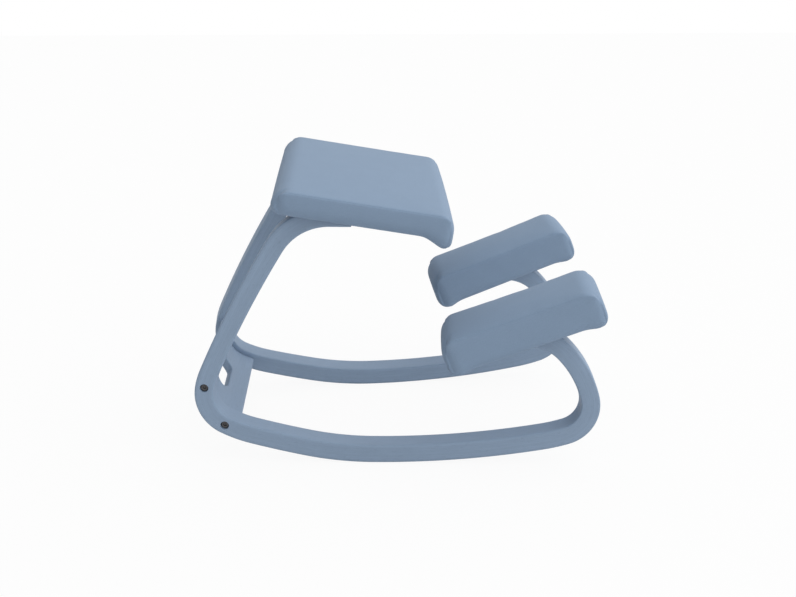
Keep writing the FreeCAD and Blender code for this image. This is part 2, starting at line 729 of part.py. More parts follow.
def arm_fasteners(name, frame, spots):
    """Bolts, washers and tee nuts of one arm, as three lists."""
    bearing = -size("lining_thickness") - size("arm_grip")
    bolts, washers, nuts = [], [], []
    for number, spot in enumerate(spots):
        low = Placement(spot + Vector(0, 0, bearing - size("washer_thickness")), Rotation())
        high = Placement(spot + Vector(0, 0, size("plate_thickness")), Rotation())
        bolts.append(arm_bolt(f"{name}_bolt_{number}", frame.multiply(low)))
        washers.append(washer(f"{name}_washer_{number}", frame.multiply(low)))
        nuts.append(tee_nut(f"{name}_tee_nut_{number}", frame.multiply(high)))
    return bolts, washers, nuts


# Cushions

def draw_rounded(sketch, corners):
    """Closed outline of lines and tangent arcs, from sharp corners given as (x, y, radius)."""
    stops = []
    for number, (x, y, radius) in enumerate(corners):
        corner = Vector(x, y, 0)
        before = Vector(*corners[number - 1][:2], 0) - corner
        after = Vector(*corners[(number + 1) % len(corners)][:2], 0) - corner
        opening = before.getAngle(after)
        reach = radius / math.tan(opening / 2)
        inwards = (before.normalize() + after.normalize()).normalize()
        middle = corner + inwards * (radius / math.sin(opening / 2) - radius)
        stops.append((corner + before * reach, middle, corner + after * reach))
    for number, (start, middle, end) in enumerate(stops):
        sketch.addGeometry(Part.LineSegment(stops[number - 1][2], start))
        sketch.addGeometry(Part.Arc(start, middle, end))
    for number in range(2 * len(stops)):
        follower = (number + 1) % (2 * len(stops))
        shared = stops[number // 2][0] if number % 2 == 0 else stops[number // 2][2]
        sketch.addConstraint(Sketcher.Constraint("Tangent", number, end_at(sketch, number, shared),
                                                 follower, end_at(sketch, follower, shared)))


def end_at(sketch, number, point):
    """1 if a sketch line or arc starts at a point, 2 if it ends there."""
    return 1 if (sketch.getPoint(number, 1) - point).Length < 0.001 else 2


def side_view(kind, inset):
    """Cushion from its side: flat top, rounded ends and an underside that dips to each nose."""
    half_length = size(kind + "_half_length") - inset
    top = size(kind + "_height") + size(kind + "_crown") - inset
    rim, dip = inset - size(kind + "_rim_drop"), size(kind + "_dip_radius")
    nose, rear = inset - size(kind + "_nose_drop"), inset - size(kind + "_rear_drop")
    level_end = half_length - size(kind + "_nose_length")
    underside = [(-half_length, rear, size(kind + "_rear_radius") - inset)]
    if rear < rim:
        underside.append((-level_end, rim, dip))
    underside.append((level_end, rim, dip))
    underside.append((half_length, nose, size(kind + "_nose_radius") - inset))
    return underside + [(half_length, top, size(kind + "_end_round") - inset),
                        (-half_length, top, size(kind + "_rear_round") - inset)]


def end_view(kind, inset):
    """Cushion from its end: sides that draw in towards the base and a crowned top."""
    half_width, height = size(kind + "_half_width") - inset, size(kind + "_height") - inset
    base = inset - max(size(kind + "_nose_drop"), size(kind + "_rear_drop"))
    low = half_width - size("draw_in")
    lower, upper = size(kind + "_lower_radius") - inset, size(kind + "_edge_radius") - inset
    peak = height + size(kind + "_crown") * CROWN_LIFT
    crown_radius = CROWN_SHARE * half_width / ((peak - height) / half_width)
    return [(-low, base, lower), (low, base, lower), (half_width, height, upper),
            (0, peak, crown_radius), (-half_width, height, upper)]


def top_view(kind, inset):
    """Cushion from above: a rectangle with round corners."""
    half_length, half_width = size(kind + "_half_length") - inset, size(kind + "_half_width") - inset
    corner = size(kind + "_corner") - inset
    return [(-half_length, -half_width, corner), (half_length, -half_width, corner),
            (half_length, half_width, corner), (-half_length, half_width, corner)]


def crossing(label, corners, attitude, length):
    """Outline pushed both ways out of its plane, well past the others that it is crossed with."""
    sketch = add("Sketcher::SketchObject", label + "_outline", Placement(Vector(), attitude))
    draw_rounded(sketch, corners)
    solid = add("Part::Extrusion", label)
    solid.Base = sketch
    solid.DirMode = "Normal"
    solid.Solid = True
    solid.Symmetric = True
    bind(solid, {"LengthFwd": length})
    return solid


def cushion_form(kind, label, inset):
    """Cushion's outer form, or the same form a skin's thickness smaller all round."""
    seen_from_side = Rotation(Vector(1, 0, 0), 90)
    seen_from_end = Rotation(Vector(0, 1, 0), Vector(0, 0, 1), Vector(1, 0, 0), "XYZ")
    form = add("Part::MultiCommon", label)
    form.Shapes = [
        crossing(label + "_side", side_view(kind, inset), seen_from_side,
                 f"@{kind}_half_width * {TRIM_SPAN}"),
        crossing(label + "_end", end_view(kind, inset), seen_from_end,
                 f"@{kind}_half_length * {TRIM_SPAN}"),
        crossing(label + "_top", top_view(kind, inset), Rotation(),
                 f"(@{kind}_height + @{kind}_crown) * 2 * {TRIM_SPAN}"),
    ]
    return form


def rounded_board(label, kind, margin, corner, thickness, base=0.0):
    """Flat board with round corners, set in from a cushion's outline by a margin."""
    body = add("PartDesign::Body", label)
    offset = Placement(Vector(0, 0, base), Rotation())
    outline = sketch_on(body, "XY_Plane", label + "_outline", offset)
    rounded_rectangle(outline, f"2 * (@{kind}_half_length - {margin})",
                      f"2 * (@{kind}_half_width - {margin})", corner)
    pad = body.newObject("PartDesign::Pad", label + "_pad")
    pad.Profile = outline
    bind(pad, {"Length": thickness})
    doc.recompute()
    return body


def hole_row(label, spots, radius, bottom, height):
    """Upright drills at a cushion's bolt spots."""
    drills = []
    for number, spot in enumerate(spots):
        place = Placement(spot + Vector(0, 0, bottom), Rotation())
        drills.append(peg(f"{label}_{number}", radius, height, place))
    return fuse(label, drills)


def make_cushion(kind, name, frame, spots):
    """Plate, foam, cover and lining of one cushion."""
    corner = f"@{kind}_plate_corner"
    margin = f"@{kind}_plate_margin"
    opening = f"@{kind}_recess_margin"
    deep = f"@{kind}_height"
    blank = rounded_board(name + "_plate_blank", kind, margin, corner, "@plate_thickness")
    holes = hole_row(name + "_plate_holes", spots,
                     "@tee_nut_barrel_diameter / 2 + @bolt_clearance",
                     -OVERSHOOT, f"@plate_thickness + 2 * {OVERSHOOT}")
    plate = cut(name + "_plate", blank, holes, frame)
    below = -size(kind + "_height")
    foam_recess = rounded_board(name + "_foam_recess", kind, f"({opening} - @cover_thickness)",
                                corner, deep, below)
    clear_recess = rounded_board(name + "_clear_recess", kind, opening, corner, deep, below)
    outer = cushion_form(kind, name + "_outer_form", 0.0)
    inner = cushion_form(kind, name + "_inner_form", size("cover_thickness"))
    core = cut(name + "_core", inner, foam_recess)
    nut_space = hole_row(name + "_nut_space", spots, "@tee_nut_flange_diameter / 2 + @bolt_clearance",
                         size("plate_thickness") - OVERSHOOT,
                         f"@tee_nut_flange_thickness + @nut_headroom + {OVERSHOOT}")
    plate_space = fuse(name + "_plate_space", [blank, nut_space])
    foam = cut(name + "_foam", core, plate_space, frame)
    shell = cut(name + "_shell", outer, core)
    cover = cut(name + "_cover", shell, clear_recess, frame)
    sheet_blank = rounded_board(name + "_lining_blank", kind, f"({opening} + @lining_gap)", corner,
                                "@lining_thickness", -size("lining_thickness"))
    passes = hole_row(name + "_lining_holes", spots, "@arm_bolt_diameter / 2 + @bolt_clearance",
                      -size("lining_thickness") - OVERSHOOT, f"@lining_thickness + 2 * {OVERSHOOT}")
    lining = cut(name + "_lining", sheet_blank, passes, frame)
    return [plate, foam, cover, lining]


# The whole chair

def make_chair():
    """Every node of the chair."""
    nodes = make_rails()
    bolt_frames = board_bolt_frames()
    nodes.append(make_board(bolt_frames))
    side_bolts = [socket_bolt(f"board_bolt_{number}", frame)
                  for number, frame in enumerate(bolt_frames)]
    side_nuts = [barrel_nut(f"board_nut_{number}", nut_frame(frame))
                 for number, frame in enumerate(bolt_frames)]
    nodes += [paired("board_bolts", side_bolts), paired("board_barrel_nuts", side_nuts)]
    twin_spots = SEAT_SPOTS + [Vector(spot.x, -spot.y, spot.z) for spot in SEAT_SPOTS]
    nodes += make_cushion("seat", "seat", SEAT, twin_spots)
    right = make_cushion("knee", "right_knee", KNEE, KNEE_SPOTS)
    nodes += right
    nodes += [mirror(node.Label.replace("right", "left"), node) for node in right]
    seat_sets = arm_fasteners("seat", SEAT, SEAT_SPOTS)
    knee_sets = arm_fasteners("knee", KNEE, KNEE_SPOTS)
    for kind, seat_pieces, knee_pieces in zip(("bolts", "washers", "tee_nuts"), seat_sets, knee_sets):
        nodes.append(paired(f"arm_{kind}", seat_pieces + knee_pieces))
    return nodes


def check(nodes):
    """Stop with the faulty objects' names before anything is written."""
    doc.recompute()
    faults = [obj.Label for obj in doc.Objects if "Invalid" in obj.State or "Error" in obj.State]
    faults += [node.Label for node in nodes if node.Shape.isNull() or not node.Shape.isValid()]
    if faults:
        raise RuntimeError("faulty objects: " + ", ".join(faults))


def write(nodes):
    """One STEP file for each node."""
    os.makedirs("parts", exist_ok=True)
    for node in nodes:
        node.Shape.exportStep(os.path.join("parts", node.Label + ".step"))
        box = node.Shape.BoundBox
        print(f"{node.Label}: {len(node.Shape.Solids)} solids, {node.Shape.Volume / 1000:.1f} cm3, "
              f"x {box.XMin:.0f}..{box.XMax:.0f} y {box.YMin:.0f}..{box.YMax:.0f} "
              f"z {box.ZMin:.0f}..{box.ZMax:.0f}")


CHAIR = make_chair()
check(CHAIR)
write(CHAIR)
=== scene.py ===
"""Looks of a rocking kneeling chair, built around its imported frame.

Lengths in the classes are millimetres, as in the chair's drawings, and become metres when a mesh
is made. +X is the way the sitter faces, +Y the sitter's left, +Z up, with the floor at z = 0.
The right-hand pieces are worked out and the left-hand ones are their mirror images.
"""

import logging
from dataclasses import dataclass, field
from enum import Enum

import bmesh
import bpy
import numpy as np
from mathutils import Matrix, Vector


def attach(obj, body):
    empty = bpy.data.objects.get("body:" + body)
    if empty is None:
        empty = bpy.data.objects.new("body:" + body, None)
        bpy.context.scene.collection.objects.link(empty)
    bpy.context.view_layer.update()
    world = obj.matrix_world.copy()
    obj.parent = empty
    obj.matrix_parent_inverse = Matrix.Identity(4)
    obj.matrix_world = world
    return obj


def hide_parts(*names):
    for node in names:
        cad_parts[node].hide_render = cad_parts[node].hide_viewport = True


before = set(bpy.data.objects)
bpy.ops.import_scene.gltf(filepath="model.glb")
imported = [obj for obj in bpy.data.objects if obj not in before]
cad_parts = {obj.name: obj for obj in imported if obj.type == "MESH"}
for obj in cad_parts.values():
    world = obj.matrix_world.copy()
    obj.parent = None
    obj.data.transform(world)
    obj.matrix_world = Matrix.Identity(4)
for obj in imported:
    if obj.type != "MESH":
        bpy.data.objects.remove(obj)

MM = 0.001
BODY = "root"
PHOTO_SIZE = (796, 597)
LOG = logging.getLogger("kneeling_chair")


# Places and plain geometry


@dataclass(frozen=True)
class Place:
    """A turned and shifted set of axes.

    Attributes:
        turn: 3 x 3 matrix whose columns are the axes.
        origin: where the axes start, in millimetres.
    """

    turn: np.ndarray
    origin: np.ndarray

    def out(self, points: np.ndarray) -> np.ndarray:
        """Points of these axes, in the chair's axes."""
        return points @ self.turn.T + self.origin

    def back(self, points: np.ndarray) -> np.ndarray:
        """Points of the chair's axes, in these axes."""
        return (points - self.origin) @ self.turn

    def inside(self, turn: np.ndarray, origin: np.ndarray) -> "Place":
        """Axes that are given in these axes, as axes of the chair."""
        return Place(self.turn @ turn, self.out(origin))


def turned(axis: str, degrees: float) -> np.ndarray:
    """3 x 3 matrix of a turn about X, Y or Z."""
    return np.array(Matrix.Rotation(np.radians(degrees), 3, axis))


def mirrored(points: np.ndarray) -> np.ndarray:
    """The other side's points: y changes its sign."""
    return points * np.array([1.0, -1.0, 1.0])


def rounded_loop(half_x: float, half_y: float, radius: float, side_x: int, side_y: int,
                 arc: int) -> np.ndarray:
    """Closed outline of a rectangle with round corners.

    Each corner is a quarter circle, taken anticlockwise from the right-hand side, and each side is
    shared out evenly.

    Args:
        half_x: half of the length on X.
        half_y: half of the length on Y.
        radius: corner radius.
        side_x: steps along a side that runs on X.
        side_y: steps along a side that runs on Y.
        arc: steps round a corner.

    Returns:
        Points as rows of (x, y), without the first one again.
    """
    pieces = []
    for number, steps in enumerate((side_x, side_y, side_x, side_y)):
        sign_x, sign_y = ((1, 1), (-1, 1), (-1, -1), (1, -1))[number]
        angle = np.linspace(0, np.pi / 2, arc + 1) + number * np.pi / 2
        centre = np.array([sign_x * (half_x - radius), sign_y * (half_y - radius)])
        corner = centre + radius * np.stack([np.cos(angle), np.sin(angle)], axis=1)
        next_x, next_y = ((-1, 1), (-1, -1), (1, -1), (1, 1))[number]
        follower = np.array([next_x * (half_x - radius), next_y * (half_y - radius)])
        start = np.array([np.cos(angle[-1]), np.sin(angle[-1])]) * radius
        share = np.linspace(0, 1, steps + 1)[1:-1, None]
        pieces += [corner, corner[-1] * (1 - share) + (follower + start) * share]
    return np.concatenate(pieces)


def grid_faces(rows: int, columns: int, around_rows: bool, around_columns: bool,
               first: int = 0) -> np.ndarray:
    """Quads of a grid of points that are numbered row by row.

    Args:
        rows: number of rows.
        columns: points in each row.
        around_rows: the last row joins the first one.
        around_columns: each row is a closed loop.
        first: number of the first point.

    Returns:
        Rows of four point numbers.
    """
    row = np.arange(rows if around_rows else rows - 1)[:, None]
    column = np.arange(columns if around_columns else columns - 1)[None, :]
    next_row, next_column = (row + 1) % rows, (column + 1) % columns
    quads = np.stack([row * columns + column, row * columns + next_column,
                      next_row * columns + next_column, next_row * columns + column], axis=-1)
    return quads.reshape(-1, 4) + first


# Meshes and objects


def make_object(name: str, points: np.ndarray, faces: list, uv_maps: dict[str, np.ndarray],
                material: bpy.types.Material) -> bpy.types.Object:
    """Put points and faces into a new smooth-shaded object at the origin.

    Args:
        name: name of the piece.
        points: rows of (x, y, z) in millimetres.
        faces: arrays of quads, and lists of point numbers for other faces.
        uv_maps: for each map, one (u, v) for each point or for each face corner, in metres.
        material: its finish.

    Returns:
        The object, with its faces pointing outwards.
    """
    mesh = bpy.data.meshes.new(name)
    rows = [row for block in faces for row in np.asarray(block).tolist()]
    mesh.from_pydata((points * MM).tolist(), [], rows)
    corners = np.zeros(len(mesh.loops), np.int32)
    mesh.loops.foreach_get("vertex_index", corners)
    for title, values in uv_maps.items():
        layer = mesh.uv_layers.new(name=title)
        spread = values if len(values) == len(corners) else values[corners]
        layer.data.foreach_set("uv", spread.astype(np.float32).ravel())
    shell = bmesh.new()
    shell.from_mesh(mesh)
    bmesh.ops.recalc_face_normals(shell, faces=shell.faces)
    shell.to_mesh(mesh)
    shell.free()
    mesh.materials.append(material)
    mesh.polygons.foreach_set("use_smooth", np.ones(len(mesh.polygons), bool))
    piece = bpy.data.objects.new(name, mesh)
    bpy.context.scene.collection.objects.link(piece)
    return piece


def read_points(mesh: bpy.types.Mesh) -> np.ndarray:
    """Vertices of a mesh as rows of (x, y, z), in metres."""
    points = np.zeros(len(mesh.vertices) * 3, np.float32)
    mesh.vertices.foreach_get("co", points)
    return points.reshape(-1, 3).astype(float)


def write_points(mesh: bpy.types.Mesh, points: np.ndarray) -> None:
    """Give a mesh's vertices new places, in metres."""
    mesh.vertices.foreach_set("co", points.astype(np.float32).ravel())
    mesh.update()


def bake_modifiers(piece: bpy.types.Object) -> None:
    """Replace an object's mesh by what its modifiers make of it."""
    graph = bpy.context.evaluated_depsgraph_get()
    made = bpy.data.meshes.new_from_object(piece.evaluated_get(graph))
    piece.modifiers.clear()
    old = piece.data
    piece.data = made
    made.name = old.name
    bpy.data.meshes.remove(old)


def carve(piece: bpy.types.Object, tools: list[bpy.types.Object]) -> None:
    """Take cutting tools away from a piece, and the tools out of the scene.

    Args:
        piece: the piece, which keeps its finish and its maps.
        tools: closed objects that overlap no other tool.
    """
    for tool in tools:
        cutter = piece.modifiers.new("cut", "BOOLEAN")
        cutter.operation = "DIFFERENCE"
        cutter.solver = "EXACT"
        cutter.object = tool
    bake_modifiers(piece)
    for tool in tools:
        bpy.data.objects.remove(tool)


def crisp(piece: bpy.types.Object, degrees: float = 32.0) -> None:
    """Shade a piece smooth, apart from its edges that are sharper than an angle."""
    piece.data.polygons.foreach_set("use_smooth", np.ones(len(piece.data.polygons), bool))
    piece.data.set_sharp_from_angle(angle=float(np.radians(degrees)))


def lathe(name: str, place: Place, profile: np.ndarray, steps: int,
          material: bpy.types.Material, socket: float = 0.0, socket_rows: int = 0
          ) -> bpy.types.Object:
    """Closed turned shape about the +Z of its place.

    A point is (r cos a, r sin a, z) for each (r, z) of the profile and each angle a. In the last
    rows, which are the wall and floor of a key socket, r is a hexagon's reach at that angle.

    Args:
        name: name of the piece.
        place: its axes.
        profile: rows of (radius, height), whose first and last rows are closed by flat faces.
        steps: points round it.
        material: its finish.
        socket: half of the hexagon's width across flats, or 0 for none.
        socket_rows: how many of the last rows are hexagons.

    Returns:
        The object.
    """
    angle = np.arange(steps) * 2 * np.pi / steps
    radius = np.repeat(profile[:, :1], steps, axis=1)
    if socket_rows:
        reach = socket / np.cos(np.mod(angle, np.pi / 3) - np.pi / 6)
        radius[-socket_rows:] = reach * (profile[-socket_rows:, :1] / socket)
    height = np.repeat(profile[:, 1:], steps, axis=1)
    points = np.stack([radius * np.cos(angle), radius * np.sin(angle), height], axis=-1)
    rows = len(profile)
    faces = [grid_faces(rows, steps, False, True),
             [list(range(steps))], [list(range((rows - 1) * steps, rows * steps))]]
    flat = points.reshape(-1, 3)
    piece = make_object(name, place.out(flat), faces, {"grain": flat[:, :2] * MM}, material)
    crisp(piece)
    return piece


def joined(name: str, pieces: list[bpy.types.Object]) -> bpy.types.Object:
    """Several objects as one, under a name."""
    whole = bmesh.new()
    for piece in pieces:
        whole.from_mesh(piece.data)
    mesh = bpy.data.meshes.new(name)
    whole.to_mesh(mesh)
    whole.free()
    mesh.materials.append(pieces[0].data.materials[0])
    for piece in pieces:
        bpy.data.objects.remove(piece)
    made = bpy.data.objects.new(name, mesh)
    bpy.context.scene.collection.objects.link(made)
    return made


def mirror_object(piece: bpy.types.Object, name: str) -> bpy.types.Object:
    """The left-hand twin of a piece, with its faces pointing outwards."""
    twin = piece.copy()
    twin.data = piece.data.copy()
    twin.name = twin.data.name = name
    write_points(twin.data, mirrored(read_points(twin.data)))
    twin.data.flip_normals()
    bpy.context.scene.collection.objects.link(twin)
    return twin


def settle(piece: bpy.types.Object, slot: str, *nodes: str) -> None:
    """Let a finished piece ride on the chair, and hide the nodes that it stands for."""
    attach(piece, BODY)
    if nodes:
        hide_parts(*nodes)
    LOG.info("%s: %d faces", piece.name, len(piece.data.polygons))


# Finishes


class Nodes:
    """Short way to write a material's node tree."""

    def __init__(self, name: str, rough: float, metallic: float = 0.0) -> None:
        """Start a material with its shader.

        Args:
            name: name of the material.
            rough: roughness where nothing else sets it.
            metallic: 1 for bare metal.
        """
        self.material = bpy.data.materials.new(name)
        self.material.use_nodes = True
        self.tree = self.material.node_tree
        self.shader = self.tree.nodes["Principled BSDF"]
        self.shader.inputs["Roughness"].default_value = rough
        self.shader.inputs["Metallic"].default_value = metallic

    def add(self, kind: str, **settings: object) -> bpy.types.Node:
        """A node with properties, and with inputs where a name starts with a capital or in_."""
        node = self.tree.nodes.new(kind)
        for name, value in settings.items():
            if name.startswith("in_"):
                node.inputs[int(name[3:])].default_value = value
            elif name[0].isupper():
                node.inputs[name].default_value = value
            else:
                setattr(node, name, value)
        return node

    def link(self, out: object, into: object) -> None:
        """Join an output to an input."""
        self.tree.links.new(out, into)

    def math(self, kind: str, first: object, second: object = 0.0) -> object:
        """Output of a sum of two outputs or numbers."""
        node = self.add("ShaderNodeMath", operation=kind)
        for place, value in enumerate((first, second)):
            if isinstance(value, (int, float)):
                node.inputs[place].default_value = value
            else:
                self.link(value, node.inputs[place])
        return node.outputs[0]

    def spots(self, vector: object, scale: tuple[float, float, float], size: float,
              detail: float = 2.0) -> object:
        """Noise from 0 to 1 on a stretched vector."""
        stretch = self.add("ShaderNodeMapping", Scale=scale)
        self.link(vector, stretch.inputs["Vector"])
        noise = self.add("ShaderNodeTexNoise", Scale=size, Detail=detail)
        self.link(stretch.outputs["Vector"], noise.inputs["Vector"])
        return noise.outputs["Fac"]

    def ramp(self, value: object, stops: list[tuple[float, tuple[float, float, float]]]) -> object:
        """Colours along a value."""
        node = self.add("ShaderNodeValToRGB")
        points = node.color_ramp.elements
        while len(points) < len(stops):
            points.new(0.5)
        for point, (at, colour) in zip(points, stops):
            point.position = at
            point.color = (*colour, 1.0)
        self.link(value, node.inputs["Fac"])
        return node.outputs["Color"]

    def tint(self, colour: object, value: object, low: float, high: float) -> object:
        """A colour made darker or lighter by a value: it is multiplied by low to high."""
        span = self.add("ShaderNodeMapRange", in_3=low, in_4=high)
        self.link(value, span.inputs[0])
        node = self.add("ShaderNodeVectorMath", operation="SCALE")
        if isinstance(colour, tuple):
            node.inputs[0].default_value = colour
        else:
            self.link(colour, node.inputs[0])
        self.link(span.outputs[0], node.inputs["Scale"])
        return node.outputs[0]

    def bump(self, height: object, depth: float, strength: float = 1.0) -> None:
        """Relief of a depth in metres, laid over what is there."""
        node = self.add("ShaderNodeBump", Strength=strength, Distance=depth)
        self.link(height, node.inputs["Height"])
        before = self.shader.inputs["Normal"]
        if before.is_linked:
            self.link(before.links[0].from_socket, node.inputs["Normal"])
        self.link(node.outputs["Normal"], before)

    def colour(self, value: object) -> None:
        """What the shader takes its colour from."""
        self.link(value, self.shader.inputs["Base Color"])

    def rough(self, value: object, low: float, high: float) -> None:
        """Roughness that runs from low to high with a value."""
        span = self.add("ShaderNodeMapRange", in_3=low, in_4=high)
        self.link(value, span.inputs[0])
        self.link(span.outputs[0], self.shader.inputs["Roughness"])


@dataclass(frozen=True)
class StainedBeech:
    """Bent beech veneers under a blue-grey stain and satin lacquer.

    The piece's two maps unroll the bend: map "side" is (along, through the plies), and map "face"
    is (along, across the width), so the grain and the plies follow the curve.

    Attributes:
        base: colour of the stain.
        ply: thickness of one veneer in metres.
    """

    base: tuple[float, float, float] = (0.266, 0.354, 0.478)
    ply: float = 0.00335

    def build(self) -> bpy.types.Material:
        """The material."""
        wood = Nodes("stained_beech", 0.55)
        wood.shader.inputs["Specular IOR Level"].default_value = 0.28
        side = wood.add("ShaderNodeUVMap", uv_map="side").outputs["UV"]
        face = wood.add("ShaderNodeUVMap", uv_map="face").outputs["UV"]
        cut_side = wood.add("ShaderNodeSeparateXYZ")
        cut_face = wood.add("ShaderNodeSeparateXYZ")
        wood.link(side, cut_side.inputs[0])
        wood.link(face, cut_face.inputs[0])
        lie = wood.add("ShaderNodeCombineXYZ")
        wood.link(cut_side.outputs["X"], lie.inputs[0])
        wood.link(cut_face.outputs["Y"], lie.inputs[1])
        wood.link(cut_side.outputs["Y"], lie.inputs[2])
        vector = lie.outputs[0]
        grain = wood.spots(vector, (0.06, 1.0, 1.0), 420.0, 4.0)
        broad = wood.spots(vector, (0.25, 1.0, 1.0), 26.0, 3.0)
        flecks = wood.spots(vector, (0.10, 1.0, 1.0), 900.0, 1.0)
        count = wood.math("DIVIDE", cut_side.outputs["Y"], self.ply)
        number = wood.math("FLOOR", wood.math("ADD", count, 0.5))
        away = wood.math("ABSOLUTE", wood.math("SUBTRACT", wood.math("FRACT", count), 0.5))
        glue = wood.math("LESS_THAN", away, 0.035)
        shade = wood.add("ShaderNodeTexWhiteNoise", noise_dimensions="1D")
        wood.link(number, shade.inputs["W"])
        colour = wood.tint(self.base, grain, 0.93, 1.07)
        colour = wood.tint(colour, broad, 0.95, 1.05)
        colour = wood.tint(colour, shade.outputs["Value"], 0.975, 1.025)
        colour = wood.tint(colour, glue, 1.0, 0.88)
        dark = wood.math("GREATER_THAN", flecks, 0.66)
        colour = wood.tint(colour, dark, 1.0, 0.90)
        wood.colour(colour)
        wood.rough(broad, 0.48, 0.62)
        wood.bump(grain, 0.00006)
        wood.bump(wood.math("SUBTRACT", 1.0, glue), 0.00005)
        return wood.material


@dataclass(frozen=True)
class WoolCloth:
    """Fine woven wool-blend cloth, mottled by its melange yarn.

    Attributes:
        base: colour of the cloth.
        yarn: distance from thread to thread in metres.
    """

    base: tuple[float, float, float] = (0.232, 0.318, 0.440)
    yarn: float = 0.0011

    def build(self) -> bpy.types.Material:
        """The material, woven on the map "cloth"."""
        cloth = Nodes("wool_cloth", 0.88)
        cloth.shader.inputs["Sheen Weight"].default_value = 0.08
        cloth.shader.inputs["Sheen Roughness"].default_value = 0.45
        cloth.shader.inputs["Specular IOR Level"].default_value = 0.25
        lay = cloth.add("ShaderNodeUVMap", uv_map="cloth").outputs["UV"]
        split = cloth.add("ShaderNodeSeparateXYZ")
        cloth.link(lay, split.inputs[0])
        turn = 2 * np.pi / self.yarn
        warp = cloth.math("SINE", cloth.math("MULTIPLY", split.outputs["X"], turn))
        weft = cloth.math("SINE", cloth.math("MULTIPLY", split.outputs["Y"], turn))
        weave = cloth.math("ADD", cloth.math("MULTIPLY", cloth.math("MULTIPLY", warp, weft), 0.5), 0.5)
        melange = cloth.spots(lay, (1.0, 1.0, 1.0), 520.0, 3.0)
        slub = cloth.spots(lay, (0.12, 1.0, 1.0), 800.0, 2.0)
        cloudy = cloth.spots(lay, (1.0, 1.0, 1.0), 22.0, 3.0)
        colour = cloth.tint(self.base, melange, 0.90, 1.10)
        colour = cloth.tint(colour, slub, 0.95, 1.05)
        colour = cloth.tint(colour, cloudy, 0.97, 1.03)
        colour = cloth.tint(colour, weave, 0.95, 1.05)
        cloth.colour(colour)
        cloth.bump(weave, 0.00012, 0.6)
        cloth.bump(cloudy, 0.0006, 0.5)
        return cloth.material


@dataclass(frozen=True)
class Metal:
    """Plated or blackened steel with faint tool marks.

    Attributes:
        name: name of the material.
        base: its colour.
        rough: its roughness.
        metallic: 1 for plating, less for a black oxide.
    """

    name: str
    base: tuple[float, float, float]
    rough: float
    metallic: float

    def build(self) -> bpy.types.Material:
        """The material."""
        steel = Nodes(self.name, self.rough, self.metallic)
        place = steel.add("ShaderNodeTexCoord").outputs["Object"]
        marks = steel.spots(place, (1.0, 1.0, 1.0), 900.0, 3.0)
        steel.colour(steel.tint(self.base, marks, 0.85, 1.15))
        steel.rough(marks, self.rough * 0.8, self.rough * 1.2)
        steel.bump(marks, 0.00003)
        return steel.material


@dataclass(frozen=True)
class Plain:
    """A board, foam or lining with two scales of mottling.

    Attributes:
        name: name of the material.
        base: its colour.
        rough: its roughness.
        fine: size of the fine mottling, in spots for each metre.
        contrast: how far the mottling goes from the colour.
        depth: depth of the relief in metres.
    """

    name: str
    base: tuple[float, float, float]
    rough: float
    fine: float
    contrast: float
    depth: float

    def build(self) -> bpy.types.Material:
        """The material."""
        stuff = Nodes(self.name, self.rough)
        place = stuff.add("ShaderNodeTexCoord").outputs["Object"]
        fine = stuff.spots(place, (1.0, 1.0, 1.0), self.fine, 3.0)
        broad = stuff.spots(place, (1.0, 1.0, 1.0), self.fine / 20, 2.0)
        colour = stuff.tint(self.base, fine, 1 - self.contrast, 1 + self.contrast)
        stuff.colour(stuff.tint(colour, broad, 1 - self.contrast / 2, 1 + self.contrast / 2))
        stuff.bump(fine, self.depth)
        return stuff.material


class Finish(Enum):
    """The chair's finishes. Each value is a slot's name."""

    WOOD = "stained_wood"
    CLOTH = "upholstery_cloth"
    BLACK = "black_steel"
    ZINC = "zinc_steel"
    PLYWOOD = "raw_plywood"
    FOAM = "foam"
    LINING = "lining_cloth"


def make_finishes() -> dict[Finish, bpy.types.Material]:
    """Every finish, built once."""
    kinds = {
        Finish.WOOD: StainedBeech(),
        Finish.CLOTH: WoolCloth(),
        Finish.BLACK: Metal("black_oxide", (0.095, 0.093, 0.096), 0.34, 1.0),
        Finish.ZINC: Metal("zinc_plate", (0.56, 0.57, 0.58), 0.30, 1.0),
        Finish.PLYWOOD: Plain("birch_plywood", (0.50, 0.33, 0.17), 0.65, 260.0, 0.12, 0.0001),
        Finish.FOAM: Plain("moulded_foam", (0.72, 0.68, 0.55), 0.9, 700.0, 0.08, 0.0004),
        Finish.LINING: Plain("lining", (0.012, 0.012, 0.014), 0.95, 1500.0, 0.35, 0.00015),
    }
    return {finish: kind.build() for finish, kind in kinds.items()}


# The runners' centre line


